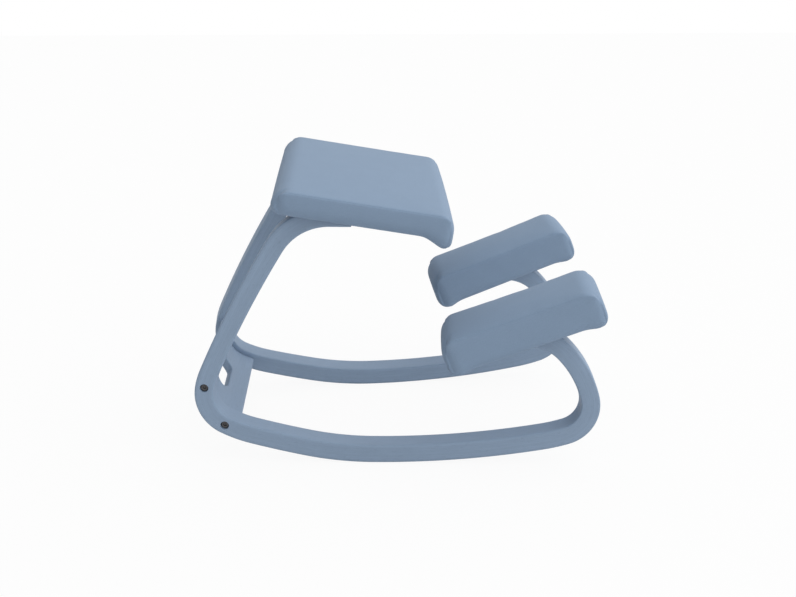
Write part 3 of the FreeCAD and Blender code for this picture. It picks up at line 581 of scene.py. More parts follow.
@dataclass(frozen=True)
class RailLine:
    """Centre line of a runner in its own plane: an arm, twelve tangent bends and an arm.

    Attributes:
        bends: (radius, turn in degrees) of each bend, from the seat arm on.
        seat_arm: length of the straight seat arm.
        knee_arm: length of the straight knee arm.
        half_thickness: from the line to the rail's underside.
        start_heading: heading of the seat arm from its tip, in degrees.
    """

    bends: tuple[tuple[float, float], ...] = (
        (112.5, 58.3), (1953.0, 7.7), (137.0, 12.0), (64.5, 75.0), (244.0, 12.5), (1837.0, 3.0),
        (602.0, 11.6), (1707.0, 10.3), (329.0, 7.8), (59.0, 85.8), (188.5, 30.5), (88.5, 66.5))
    seat_arm: float = 38.0
    knee_arm: float = 60.0
    half_thickness: float = 16.75
    start_heading: float = 180.0

    def stations(self) -> tuple[np.ndarray, np.ndarray]:
        """Distance and heading in radians at each end of the arms and bends."""
        lengths = [self.seat_arm, *(r * np.radians(t) for r, t in self.bends), self.knee_arm]
        turns = [0.0, *(t for r, t in self.bends), 0.0]
        return (np.concatenate([[0.0], np.cumsum(lengths)]),
                np.radians(self.start_heading + np.concatenate([[0.0], np.cumsum(turns)])))

    def raw(self, distance: np.ndarray) -> tuple[np.ndarray, np.ndarray]:
        """Points and headings before the line is shifted onto the floor.

        The heading runs evenly along an arm or bend. A point is its piece's start plus a chord: the
        distance along the piece times sin(half turn) / half turn, at the mean of both headings.

        Args:
            distance: distances along the line.

        Returns:
            Rows of (u, v), and the headings in radians.
        """
        ends, headings = self.stations()
        steps = self.chord(np.diff(ends), headings[:-1], headings[1:])
        starts = np.concatenate([[[0.0, 0.0]], np.cumsum(steps, axis=0)])
        heading = np.interp(distance, ends, headings)
        number = np.clip(np.searchsorted(ends, distance, side="right") - 1, 0, len(ends) - 2)
        beyond = self.chord(distance - ends[number], headings[number], heading)
        return starts[number] + beyond, heading

    @staticmethod
    def chord(length: np.ndarray, first: np.ndarray, second: np.ndarray) -> np.ndarray:
        """Straight step from one heading to another along an even bend."""
        middle, half = (first + second) / 2, (second - first) / 2
        reach = length * np.sinc(half / np.pi)
        return np.stack([reach * np.cos(middle), reach * np.sin(middle)], axis=-1)

    def at(self, distance: np.ndarray) -> tuple[np.ndarray, np.ndarray]:
        """Points on the line and their headings, with the rail's lowest underside on the floor.

        Args:
            distance: distances along the line.

        Returns:
            Rows of (u, v), and the headings in radians.
        """
        ends, headings = self.stations()
        extremes = np.interp(np.radians([270.0, 360.0, 450.0]), headings, ends)
        marks, _ = self.raw(extremes)
        shift = np.array([-(marks[0, 0] + marks[2, 0]) / 2, self.half_thickness - marks[1, 1]])
        points, heading = self.raw(distance)
        return points + shift, heading

    def length(self) -> float:
        """Whole length."""
        return float(self.stations()[0][-1])


@dataclass(frozen=True)
class Stance:
    """How the right runner stands: leaned inwards, splayed, with its underside on the floor.

    Attributes:
        width: width of the rail.
        thickness: thickness of the rail.
        lean: lean inwards in degrees.
        splay: outwards turn going forward in degrees.
        half_width: from the middle to the runner's outer face at the floor.
        eased: how much of the rail's edge doesn't touch the floor.
    """

    width: float = 46.5
    thickness: float = 33.5
    lean: float = 2.26
    splay: float = 3.2
    half_width: float = 208.0
    eased: float = 3.2

    def place(self) -> Place:
        """Axes of the right runner: its plane's u, across it, and its plane's v."""
        lean, half = np.radians(self.lean), self.width / 2
        turn = turned("Z", -self.splay) @ turned("X", -self.lean)
        origin = np.array([0.0, -self.half_width + half * np.cos(lean),
                           (half - self.eased) * np.sin(lean)])
        return Place(turn, origin)


LINE = RailLine()
STANCE = Stance()
RAIL = STANCE.place()
LINING = 0.8


def on_rail(distance: float, below: float = 0.0, across: float = 0.0) -> np.ndarray:
    """Point at a distance along the right rail, below its centre line and across it."""
    (point,), (heading,) = LINE.at(np.array([distance]))
    u = point[0] + below * np.sin(heading)
    v = point[1] - below * np.cos(heading)
    return RAIL.out(np.array([u, across, v]))


def seat_place(arm_tip: float = 14.5, pitch: float = 9.5, forward: float = 16.2) -> Place:
    """Axes of the seat: forward along it, to the left, and out of its top."""
    point, _ = LINE.at(np.array([0.0]))
    tip = RAIL.out(np.array([point[0, 0], 0.0, point[0, 1] - STANCE.thickness / 2 + arm_tip]))
    turn = turned("Y", pitch)
    centre = tip + turn @ np.array([forward, 0.0, LINING])
    return Place(turn, centre * np.array([1.0, 0.0, 1.0]))


def knee_place(arm_tip: float = 17.2, forward: float = 87.0, inset: float = 4.0,
               level: float = 540.0) -> Place:
    """Axes of the right knee rest, parallel to the knee arm and splayed with the rail."""
    _, (heading,) = LINE.at(np.array([LINE.length()]))
    tip = on_rail(LINE.length(), arm_tip - STANCE.thickness / 2)
    turn = turned("Z", -STANCE.splay) @ turned("Y", level - np.degrees(heading))
    return Place(turn, tip + turn @ np.array([forward, inset, LINING]))


SEAT = seat_place()
KNEE = knee_place()


def arm_spots(place: Place, distances: tuple[float, float]) -> np.ndarray:
    """Where an arm's two bolts cross a cushion's underside, in the cushion's axes."""
    spots = place.back(np.array([on_rail(distance) for distance in distances]))
    spots[:, 2] = 0.0
    return spots


SEAT_SPOTS = arm_spots(SEAT, (20.0, 58.0))
KNEE_SPOTS = arm_spots(KNEE, (LINE.length() - 25.0, LINE.length() - 85.0))
HEEL_TOP = float(LINE.stations()[0][4])
HEEL_FRONT = float(LINE.stations()[0][5])


# Runners


@dataclass
class Runners:
    """The two bent laminated runners.

    Attributes:
        finishes: materials.
        edge: radius of the rail's long edges.
        step: spacing of the sections.
        arc: steps round an edge.
        tip_round: rounding of the arms' ends.
        recess: depth of the counterbores for the board's bolts.
        recess_radius: their radius.
        sink_radius: radius of the counterbores under the arms.
        grip: wood between a washer and the cushion.
    """

    finishes: dict[Finish, bpy.types.Material]
    edge: float = 3.4
    step: float = 4.0
    arc: int = 5
    tip_round: float = 1.5
    recess: float = 12.0
    recess_radius: float = 7.75
    sink_radius: float = 8.5
    grip: float = 9.0
    names: tuple[str, str] = field(default=("right_rail", "left_rail"))

    def sweep(self) -> bpy.types.Object:
        """The right rail before it is drilled.

        A point is the centre line's point plus x of the section across the rail's plane and y of the
        section square to the line, towards the outside of the bends. The first and last sections
        shrink by a quarter circle, so the arms' ends are eased. What rises above a cushion's
        underside drops onto it, square to the line, which cuts the arms flush.

        Returns:
            The closed rail.
        """
        half_w, half_t = STANCE.width / 2, STANCE.thickness / 2
        loop = rounded_loop(half_w, half_t, self.edge, 8, 6, self.arc)
        count = int(LINE.length() / self.step)
        inner = np.linspace(self.tip_round, LINE.length() - self.tip_round, count)
        quarter = np.linspace(0, np.pi / 2, 4)[:-1]
        ease = self.tip_round * (1 - np.sin(quarter))
        lead = self.tip_round * (1 - np.cos(quarter))
        distance = np.concatenate([lead, inner, LINE.length() - lead[::-1]])
        shrink = np.concatenate([ease, np.zeros(count), ease[::-1]])
        across = loop[None, :, 0] * (1 - shrink[:, None] / half_w)
        outward = loop[None, :, 1] * (1 - shrink[:, None] / half_t)
        points, heading = LINE.at(distance)
        normal = np.stack([np.sin(heading), -np.cos(heading)], axis=-1)
        plane = points[:, None, :] + outward[..., None] * normal[:, None, :]
        local = np.stack([plane[..., 0], across, plane[..., 1]], axis=-1)
        world = RAIL.out(local)
        lift = np.stack([normal[:, 0], np.zeros(len(normal)), normal[:, 1]], axis=-1) @ RAIL.turn.T
        arms = ((SEAT, distance < 90.0), (KNEE, distance > LINE.length() - 120.0))
        for cushion, near in arms:
            height = cushion.back(world[near])[..., 2] + LINING
            slope = lift[near] @ cushion.turn[:, 2]
            drop = np.maximum(height, 0.0) / slope[:, None]
            world[near] -= drop[..., None] * lift[near][:, None, :]
        rows, columns = len(distance), len(loop)
        along = np.repeat(distance[:, None], columns, axis=1)
        maps = {"side": np.stack([along, outward], axis=-1).reshape(-1, 2) * MM,
                "face": np.stack([along, across], axis=-1).reshape(-1, 2) * MM}
        faces = [grid_faces(rows, columns, False, True),
                 [list(range(columns))], [list(range((rows - 1) * columns, rows * columns))]]
        return make_object(self.names[0], world.reshape(-1, 3), faces, maps,
                           self.finishes[Finish.WOOD])

    def drills(self) -> list[bpy.types.Object]:
        """Cutting tools: two counterbores in the outer face and two under each arm."""
        wood = self.finishes[Finish.WOOD]
        tools = []
        for number, distance in enumerate((HEEL_TOP, HEEL_FRONT)):
            start = on_rail(distance, across=-STANCE.width / 2 + self.recess)
            turn = RAIL.turn @ turned("X", 90.0)
            deep = np.array([[self.recess_radius, 0.0], [self.recess_radius, self.recess * 2]])
            tools.append(lathe(f"tool_{number}", Place(turn, start), deep, 48, wood))
        for place, spots in ((SEAT, SEAT_SPOTS), (KNEE, KNEE_SPOTS)):
            for spot in spots:
                face = spot - np.array([0.0, 0.0, self.grip + LINING])
                hole = np.array([[self.sink_radius, 0.0], [self.sink_radius, -STANCE.thickness * 2]])
                tools.append(lathe(f"tool_{len(tools)}", place.inside(np.eye(3), face), hole, 48, wood))
        return tools

    def build(self) -> None:
        """Both rails, drilled and in place."""
        right = self.sweep()
        carve(right, self.drills())
        crisp(right)
        left = mirror_object(right, self.names[1])
        settle(right, Finish.WOOD.value, "right_runner")
        settle(left, Finish.WOOD.value, "left_runner")


# Cross board


@dataclass
class CrossBoard:
    """The bent board between the runners' heels, with its hand hole.

    Attributes:
        finishes: materials.
        thickness: thickness of the board.
        up: how far it runs past the upper bolt.
        front: how far it runs past the lower bolt.
        edge: radius of its edges and of the hole's rim.
        corner: radius of its four corners.
        hole: half height, half length and corner radius of the hand hole.
        level: the board is as drawn up to this distance from the middle, and is stretched past it
            to meet the rails.
        rows: steps from the hole to the outline.
        nut_radius: radius of the bores for the barrel nuts.
        nut_inset: from the rail's inner face to a barrel nut's middle.
    """

    finishes: dict[Finish, bpy.types.Material]
    thickness: float = 16.0
    up: float = 17.0
    front: float = 23.0
    edge: float = 3.0
    corner: float = 5.0
    hole: tuple[float, float, float] = (22.0, 55.0, 18.0)
    level: float = 60.0
    rows: int = 18
    nut_radius: float = 6.2
    nut_inset: float = 35.0

    def shift(self) -> np.ndarray:
        """From the runner's plane to the board: it isn't leaned, and meets the rail's middle line."""
        points, _ = LINE.at(np.array([HEEL_TOP]))
        u, v = points[0]
        place = RAIL.out(np.array([u, STANCE.width / 2, v]))
        return np.array([place[0] - u, 0.0, place[2] - v])

    def bent(self, along: np.ndarray, across: np.ndarray, outward: np.ndarray) -> np.ndarray:
        """Points of the bent board from their places in the flat one.

        Along is a distance on the runners' centre line, which the board follows. Outward is square
        to it. Across is the distance from the chair's middle.

        Args:
            along: distances along the line.
            across: distances to the left.
            outward: distances towards the outside of the bend.

        Returns:
            Points in the chair's axes.
        """
        points, heading = LINE.at(along)
        u = points[..., 0] + outward * np.sin(heading)
        v = points[..., 1] - outward * np.cos(heading)
        return np.stack([u, across, v], axis=-1) + self.shift()

    def reach(self, points: np.ndarray) -> np.ndarray:
        """Distance from the middle to the rails' inner faces, beside each point."""
        normal = RAIL.turn[:, 1]
        level = RAIL.out(np.array([0.0, STANCE.width / 2, 0.0])) @ normal
        rest = points[..., 0] * normal[0] + points[..., 2] * normal[2]
        return -(level - rest) / normal[1]

    def slab(self) -> bpy.types.Object:
        """The board: a closed loop of section carried round the hand hole.

        Round the hole run two matching outlines, the hole's and the board's. The section goes from
        the hole to the outline on the front, round the board's edge, back to the hole on the rear
        and round the hole's rim, both edges being half circles flattened in their middle.

        Returns:
            The closed board.
        """
        low, high = HEEL_TOP - self.up, HEEL_FRONT + self.front
        middle, half_s = (low + high) / 2, (high - low) / 2
        half_h, half_l, corner = self.hole
        hole_middle = (HEEL_TOP + HEEL_FRONT) / 2
        half_t, steps = self.thickness / 2, (16, 44, 8)
        nominal = 150.0
        hole = rounded_loop(half_h, half_l, corner, *steps) + np.array([hole_middle, 0.0])
        rim = rounded_loop(half_s, nominal, self.corner, *steps) + np.array([middle, 0.0])
        outward = rounded_loop(half_s - self.edge, nominal - self.edge, self.corner, *steps)
        outward += np.array([middle, 0.0])
        grown = rounded_loop(half_h + self.edge, half_l + self.edge, corner + self.edge, *steps)
        grown += np.array([hole_middle, 0.0])
        share = np.linspace(0, 1, self.rows)[:, None, None]
        front = grown * (1 - share) + outward * share
        quarter = np.linspace(0, np.pi / 2, 5)[1:-1]
        bulge = np.sin(quarter)[:, None, None]
        edge = outward + (rim - outward) * bulge
        lip = hole + (grown - hole) * (1 - bulge)
        flat = half_t - self.edge
        drop = flat + self.edge * np.cos(quarter)
        level = np.linspace(-flat, flat, 5)
        columns = len(hole)
        across = np.concatenate([front, edge, np.repeat(rim[None], 5, axis=0), edge[::-1],
                                 front[::-1], lip, np.repeat(hole[None], 5, axis=0), lip[::-1]])
        depth = np.concatenate([np.full(self.rows, -half_t), -drop, level, drop[::-1],
                                np.full(self.rows, half_t), drop, -level, -drop[::-1]])
        depth = np.repeat(depth[:, None], columns, axis=1)
        along, aside = across[..., 0], across[..., 1]
        place = self.bent(along, aside, depth)
        beyond = np.maximum(np.abs(aside) - self.level, 0) / (nominal - self.level)
        end = self.reach(place)
        size = np.minimum(np.abs(aside), self.level) + beyond * (end - self.level)
        place[..., 1] = np.sign(aside) * size
        maps = {"side": np.stack([place[..., 1], depth], axis=-1).reshape(-1, 2) * MM,
                "face": np.stack([place[..., 1], along], axis=-1).reshape(-1, 2) * MM}
        faces = [grid_faces(len(across), columns, True, True)]
        return make_object("bent_board", place.reshape(-1, 3), faces, maps,
                           self.finishes[Finish.WOOD])

    def nut_places(self) -> list[Place]:
        """Axes of the right-hand barrel nuts: +Z out through the board's back."""
        places = []
        for distance in (HEEL_TOP, HEEL_FRONT):
            _, (heading,) = LINE.at(np.array([distance]))
            outwards = RAIL.turn @ np.array([np.sin(heading), 0.0, -np.cos(heading)])
            along = RAIL.turn[:, 1]
            turn = np.stack([np.cross(along, outwards), along, outwards], axis=1)
            centre = on_rail(distance, across=STANCE.width / 2 + self.nut_inset)
            places.append(Place(turn, centre))
        return places

    def build(self) -> None:
        """The board, bored for its barrel nuts."""
        board = self.slab()
        bore = np.array([[self.nut_radius, -6.2], [self.nut_radius, self.thickness * 2]])
        tools = []
        for number, place in enumerate(self.nut_places()):
            tool = lathe(f"tool_{number}", place, bore, 48, self.finishes[Finish.WOOD])
            tools += [tool, mirror_object(tool, f"tool_left_{number}")]
        carve(board, tools)
        crisp(board)
        settle(board, Finish.WOOD.value, "cross_board")


# Fasteners


@dataclass
class Fasteners:
    """Bolts, washers and nuts with their real shapes.

    Attributes:
        finishes: materials.
        board: the cross board, which knows where its nuts lie.
        recess: how deep the board bolts' heads bear in the rail.
        grip: wood between an arm bolt's washer and the cushion.
        washer: thickness of a washer.
    """

    finishes: dict[Finish, bpy.types.Material]
    board: CrossBoard
    recess: float = 12.0
    grip: float = 9.0
    washer: float = 1.6

    @staticmethod
    def cap_screw() -> np.ndarray:
        """Profile of an M8 screw with a round head, from its point to its key socket's floor."""
        return np.array([[3.0, 75.0], [4.0, 74.0], [4.0, 0.6], [4.5, 0.0], [6.3, 0.0], [6.5, -0.3],
                         [6.5, -7.0], [6.3, -7.6], [5.7, -8.0], [3.9, -8.0], [3.5, -7.7],
                         [3.0, -7.4], [3.0, -4.0], [1.2, -3.4]])

    @staticmethod
    def button_screw() -> np.ndarray:
        """Profile of an M6 screw with a low domed head, from its point to its socket's floor."""
        return np.array([[2.4, 25.0], [3.0, 24.2], [3.0, 0.4], [3.3, 0.0], [5.1, 0.0], [5.25, -0.25],
                         [5.0, -1.2], [4.4, -2.1], [3.6, -2.8], [2.7, -3.2], [2.4, -3.1],
                         [2.0, -2.9], [2.0, -1.2], [0.8, -0.9]])

    @staticmethod
    def ring(inner: float, outer: float, thick: float) -> np.ndarray:
        """Profile of a flat ring, from its inner wall's foot round to its inner wall's top."""
        ease = 0.25
        return np.array([[inner, 0.0], [outer - ease, 0.0], [outer, ease], [outer, thick - ease],
                         [outer - ease, thick], [inner, thick]])

    def pair_up(self, name: str, pieces: list[bpy.types.Object]) -> bpy.types.Object:
        """Right-hand pieces and their left-hand twins as one piece."""
        twins = [mirror_object(piece, piece.name + "_left") for piece in pieces]
        return joined(name, pieces + twins)

    def board_screws(self) -> None:
        """Four screws through the rails into the board."""
        screws = []
        for number, distance in enumerate((HEEL_TOP, HEEL_FRONT)):
            start = on_rail(distance, across=-STANCE.width / 2 + self.recess)
            place = Place(RAIL.turn @ turned("X", -90.0), start)
            screws.append(lathe(f"cap_{number}", place, self.cap_screw(), 48,
                                self.finishes[Finish.BLACK], 3.0, 2))
        whole = self.pair_up("cap_screws", screws)
        settle(whole, Finish.BLACK.value, "board_bolts")

    def barrel_nuts(self) -> None:
        """Four cross dowels in the board, each with a slot that shows in its bore."""
        half = 6.0
        profile = np.array([[half - 0.6, -half], [half, -half + 0.6], [half, half - 0.6],
                            [half - 0.6, half]])
        nuts = []
        for number, place in enumerate(self.board.nut_places()):
            nut = lathe(f"nut_{number}", place, profile, 48, self.finishes[Finish.ZINC])
            corners = np.array([[x, y, z] for x in (-8.0, 8.0) for y in (-0.7, 0.7) for z in (4.6, 8.0)])
            quads = [[0, 1, 3, 2], [4, 6, 7, 5], [0, 4, 5, 1], [2, 3, 7, 6], [0, 2, 6, 4], [1, 5, 7, 3]]
            slot = make_object("slot", place.out(corners), [quads], {"grain": corners[:, :2]},
                               self.finishes[Finish.ZINC])
            carve(nut, [slot])
            nuts.append(nut)
        settle(self.pair_up("cross_dowels", nuts), Finish.ZINC.value, "board_barrel_nuts")

    def arm_screws(self) -> None:
        """Eight screws up into the cushions, with their washers."""
        screws, washers = [], []
        zinc = self.finishes[Finish.ZINC]
        low = -LINING - self.grip - self.washer
        for place, spots in ((SEAT, SEAT_SPOTS), (KNEE, KNEE_SPOTS)):
            for spot in spots:
                here = place.inside(np.eye(3), spot + np.array([0.0, 0.0, low]))
                number = len(screws)
                screws.append(lathe(f"arm_{number}", here, self.button_screw(), 48, zinc, 2.0, 2))
                washers.append(self.washer_at(f"ring_{number}", here))
        settle(self.pair_up("arm_screws", screws), Finish.ZINC.value, "arm_bolts")
        settle(self.pair_up("arm_rings", washers), Finish.ZINC.value, "arm_washers")

    def washer_at(self, name: str, place: Place) -> bpy.types.Object:
        """A flat ring: its section, a rectangle with eased corners, turned about +Z."""
        profile = self.ring(3.2, 8.0, self.washer)
        angle = np.arange(48) * 2 * np.pi / 48
        radius, height = profile[:, :1], profile[:, 1:] + 0 * angle
        points = np.stack([radius * np.cos(angle), radius * np.sin(angle), height], axis=-1)
        flat = points.reshape(-1, 3)
        piece = make_object(name, place.out(flat), [grid_faces(len(profile), 48, True, True)],
                            {"grain": flat[:, :2] * MM}, self.finishes[Finish.ZINC])
        crisp(piece)
        return piece

    def build(self) -> None:
        """Every fastener that can be seen."""
        self.board_screws()
        self.barrel_nuts()
        self.arm_screws()


# Cushions


@dataclass(frozen=True)
class CushionSize:
    """Sizes of a cushion in its own axes, with z = 0 at its plate's underside.

    Attributes:
        half_length: half of the length.
        half_width: half of the width.
        height: top of the sides.
        crown: how much higher the middle is.
        rim_drop: how far the sides reach below the plate.
        nose_drop: how far the front end does.
        rear_drop: how far the rear end does.
        nose_length: length over which an end dips.
        rounds: radii in the side view: top front, top rear, bottom front, bottom rear.
        edge: radius along the top of the sides.
        lower: radius along the bottom of the sides.
        corner: corner radii from above, at the front and the rear.
        draw_in: how far the sides draw in towards the base.
        recess: margin and corner radius of the opening for the plate.
        swell: how far the filling pushes the cloth out.
    """

    half_length: float
    half_width: float
    height: float
    crown: float
    rim_drop: float
    nose_drop: float
    rear_drop: float
    nose_length: float
    rounds: tuple[float, float, float, float]
    edge: float
    lower: float
    corner: tuple[float, float]
    draw_in: float
    recess: tuple[float, float]
    swell: float


SEAT_SIZE = CushionSize(half_length=157.0, half_width=229.0, height=40.0, crown=5.0, rim_drop=7.0,
                        nose_drop=27.0, rear_drop=7.0, nose_length=56.0,
                        rounds=(28.0, 33.0, 20.0, 18.0), edge=7.0, lower=26.0, corner=(18.0, 30.0),
                        draw_in=5.0, recess=(29.0, 22.0), swell=3.0)
KNEE_SIZE = CushionSize(half_length=146.5, half_width=71.5, height=52.0, crown=5.0, rim_drop=14.5,
                        nose_drop=23.5, rear_drop=24.5, nose_length=50.0,
                        rounds=(32.0, 32.0, 27.0, 27.0), edge=8.0, lower=16.0, corner=(15.0, 27.0),
                        draw_in=5.0, recess=(27.0, 16.0), swell=3.0)


class Panel(Enum):
    """Cut pieces of a cushion's cover, which the cloth's map is laid on."""

    TOP = 0
    SIDE = 1
    END = 2
    UNDER = 3


def round_off(first: np.ndarray, second: np.ndarray, radius: float
              ) -> tuple[np.ndarray, np.ndarray]:
    """Round a square corner, where both distances are measured inwards from the corner's sides.

    Within a radius of both sides, the square is pressed into a quarter disc: the offset from the
    disc's centre keeps its direction and its greater part becomes its length.

    Args:
        first: distances from one side.
        second: distances from the other side.
        radius: radius of the corner.

    Returns:
        The new distances from both sides.
    """
    a, b = radius - first, radius - second
    near = (a > 0) & (b > 0)
    size = np.where(near, np.hypot(a, b), 1.0)
    scale = np.where(near, np.maximum(a, b) / np.maximum(size, 1e-9), 1.0)
    return (np.where(near, radius - a * scale, first), np.where(near, radius - b * scale, second))


@dataclass
class Cushion:
    """A foam cushion in a sewn cover: two side panels and a band that wraps round.

    Attributes:
        name: name of the piece.
        size: its sizes.
        place: its axes.
        finishes: materials.
        spacing: distance between grid lines.
        seam: distances of the close lines beside a seam.
        groove: depth of the seams.
        lip: radius of the edge that turns into the plate's recess.
        ceiling: height of the cloth above the plate's underside.
    """

    name: str
    size: CushionSize
    place: Place
    finishes: dict[Finish, bpy.types.Material]
    spacing: float = 5.0
    seam: tuple[float, float] = (1.1, 3.2)
    groove: float = 0.9
    lip: float = 4.0
    ceiling: float = -0.4

    def lines(self, half: float) -> np.ndarray:
        """Grid lines from -half to half, close together beside the seams."""
        inner = half - self.seam[1] - self.spacing / 2
        even = np.linspace(-inner, inner, int(2 * inner / self.spacing) + 1)
        close = half - np.array([self.seam[1], self.seam[0], 0.0])
        return np.concatenate([-close[::-1], even, close])

    def top(self, across: np.ndarray) -> np.ndarray:
        """Height of the sharp-edged top: the crown falls off with the square of the distance."""
        size = self.size
        return size.height + size.crown * (1 - (across / size.half_width) ** 2)

    def bottom(self, along: np.ndarray) -> np.ndarray:
        """Height of the sharp-edged underside.

        It is level in the middle. Towards an end it dips by the curve t^2 (3 - 2 t), which starts
        and ends gently.
        """
        size = self.size
        height = np.full(np.shape(along), -size.rim_drop)
        for sign, drop in ((1, size.nose_drop), (-1, size.rear_drop)):
            share = (sign * along - size.half_length + size.nose_length) / size.nose_length
            share = np.clip(share, 0, 1)
            height = height - share**2 * (3 - 2 * share) * (drop - size.rim_drop)
        return height

    def press(self, points: np.ndarray) -> np.ndarray:
        """Turn the sharp block into the cushion.

        Its corners are rounded in the side view, then in the end view, whose sides also draw in
        towards the base, and then from above. Heights are measured from the top and the underside
        at the same place.

        Args:
            points: rows of (along, across, height) on the sharp block.

        Returns:
            The rounded points.
        """
        size = self.size
        along, across, height = points.T.copy()
        share = (self.top(across) - height) / (self.top(across) - self.bottom(along))
        for sign, radius, low in ((1, size.rounds[0], False), (-1, size.rounds[1], False),
                                  (1, size.rounds[2], True), (-1, size.rounds[3], True)):
            level = height - self.bottom(along) if low else self.top(across) - height
            reach, level_new = round_off(size.half_length - sign * along, level, radius)
            moved = level_new != level
            along = np.where(moved, sign * (size.half_length - reach), along)
            base = self.bottom(along) + level_new if low else self.top(across) - level_new
            height = np.where(moved, base, height)
        for radius, low in ((size.edge, False), (size.lower, True)):
            level = height - self.bottom(along) if low else self.top(across) - height
            reach, level_new = round_off(size.half_width - np.abs(across), level, radius)
            moved = level_new != level
            sign = np.sign(across)
            base = self.bottom(along) + level_new if low else self.top(across) - level_new
            height = np.where(moved, base, height)
            across = np.where(moved, sign * (size.half_width - reach), across)
        across = across * (1 - size.draw_in / size.half_width * share)
        corner = np.where(along > 0, *size.corner)
        end, side = round_off(size.half_length - np.abs(along), size.half_width - np.abs(across),
                              corner)
        along = np.sign(along) * (size.half_length - end)
        across = np.sign(across) * (size.half_width - side)
        return np.stack([along, across, height], axis=-1)

    def border(self, along: np.ndarray, across: np.ndarray) -> tuple[np.ndarray, np.ndarray]:
        """Grid numbers round the top panel, anticlockwise, and the points' (along, across)."""
        columns, rows = len(along), len(across)
        number = np.arange(columns * rows).reshape(rows, columns)
        loop = np.concatenate([number[0, :-1], number[:-1, -1], number[-1, :0:-1], number[:0:-1, 0]])
        return loop, np.stack([along[loop % columns], across[loop // columns]], axis=-1)

    def form(self) -> tuple[np.ndarray, list, np.ndarray, np.ndarray, np.ndarray]:
        """Points, faces, each face's panel, the cloth's hold and the seams of the cover.

        The top panel is a grid. From its border a skirt goes down the sides, in over the underside
        to the recess, round a lip and up the recess's wall to the plate.

        Returns:
            Points in the cushion's axes, faces, panel numbers, hold from 0 to 1 and seam flags.
        """
        size = self.size
        along, across = self.lines(size.half_length), self.lines(size.half_width)
        grid_l, grid_w = np.meshgrid(along, across)
        top = np.stack([grid_l, grid_w, self.top(grid_w)], axis=-1).reshape(-1, 3)
        loop, rim = self.border(along, across)
        tall = size.height + size.rim_drop
        lead = np.array([self.seam[0], self.seam[1]])
        even = np.linspace(self.seam[1], tall, max(3, int(tall / self.spacing)))[1:]
        share = np.concatenate([lead, even]) / tall
        high, low = self.top(rim[:, 1]), self.bottom(rim[:, 0])
        wall = high + (low - high) * share[:, None]
        side = np.concatenate([np.repeat(rim[None], len(share), axis=0), wall[..., None]], axis=-1)
        margin, corner = size.recess
        scale = np.array([size.half_length - margin, size.half_width - margin])
        scale = scale / np.array([size.half_length, size.half_width])
        inner = self.recess_loop(rim * scale, 0.0)
        outer = self.recess_loop(rim * scale, self.lip)
        part = np.linspace(0, 1, int(margin / self.spacing) + 2)[1:, None, None]
        under = rim * (1 - part) + outer * part
        under = np.concatenate([under, self.bottom(under[..., 0])[..., None]], axis=-1)
        pressed = self.press(np.concatenate([top, side.reshape(-1, 3), under.reshape(-1, 3)]))
        angle = np.radians([25.0, 50.0, 75.0, 90.0])[:, None, None]
        turn = outer + (inner - outer) * np.sin(angle)
        rise = self.bottom(turn[..., 0]) + self.lip * (1 - np.cos(angle[..., 0]))
        lip = np.concatenate([turn, rise[..., None]], axis=-1)
        climb = np.array([0.5, 1.0])[:, None]
        rise = lip[-1, :, 2] * (1 - climb) + self.ceiling * climb
        shaft = np.concatenate([np.repeat(inner[None], 2, axis=0), rise[..., None]], axis=-1)
        points = np.concatenate([pressed, lip.reshape(-1, 3), shaft.reshape(-1, 3)])
        count, columns = len(top), len(loop)
        rows = len(side) + len(under) + len(lip) + len(shaft)
        faces = self.skirt_faces(loop, count, rows)
        panels = self.face_panels(rim, along, across, len(side), rows)
        hold = np.zeros(len(points))
        hold[count + (len(side) + len(under) - 2) * columns:] = 1.0
        hold[count + len(side) * columns: count + (len(side) + len(under) - 2) * columns] = 0.5
        return points, faces, panels, hold, self.seam_points(loop, rim, count, len(side), len(points))

    def recess_loop(self, loop: np.ndarray, grow: float) -> np.ndarray:
        """The recess's outline, rounded at its corners and grown all round."""
        size = self.size
        half = np.array([size.half_length, size.half_width]) - size.recess[0]
        end, side = round_off(half[0] - np.abs(loop[:, 0]), half[1] - np.abs(loop[:, 1]),
                              size.recess[1])
        rounded = np.sign(loop) * (half - np.stack([end, side], axis=-1))
        return rounded * (1 + grow / half)

    def skirt_faces(self, loop: np.ndarray, count: int, rows: int) -> list:
        """Faces of the top panel, of the skirt below its border and of the closed recess."""
        along, across = self.lines(self.size.half_length), self.lines(self.size.half_width)
        columns = len(loop)
        first = np.stack([loop, np.roll(loop, -1), count + np.roll(np.arange(columns), -1),
                          count + np.arange(columns)], axis=-1)
        last = count + (rows - 1) * columns + np.arange(columns)
        return [grid_faces(len(across), len(along), False, False), first,
                grid_faces(rows, columns, False, True, count), [last.tolist()]]

    def face_panels(self, rim: np.ndarray, along: np.ndarray, across: np.ndarray, sides: int,
                    rows: int) -> np.ndarray:
        """Panel of each face, in the faces' order."""
        middle = (rim + np.roll(rim, -1, axis=0)) / 2
        wide = np.isclose(np.abs(middle[:, 1]), self.size.half_width)
        ring = np.where(wide, Panel.SIDE.value, Panel.END.value)
        top = np.full((len(along) - 1) * (len(across) - 1), Panel.TOP.value)
        skirt = np.tile(ring, sides)
        rest = np.full((rows - sides) * len(rim) + 1, Panel.UNDER.value)
        return np.concatenate([top, skirt, rest])

    def seam_points(self, loop: np.ndarray, rim: np.ndarray, count: int, sides: int,
                    total: int) -> np.ndarray:
        """Flags of the points on a seam: the long top edges, and the corners from top to bottom."""
        flags = np.zeros(total, bool)
        wide = np.isclose(np.abs(rim[:, 1]), self.size.half_width)
        flags[loop[wide]] = True
        corner = wide & np.isclose(np.abs(rim[:, 0]), self.size.half_length)
        rows = count + np.arange(sides)[:, None] * len(loop)
        flags[(rows + np.flatnonzero(corner)[None, :]).ravel()] = True
        return flags

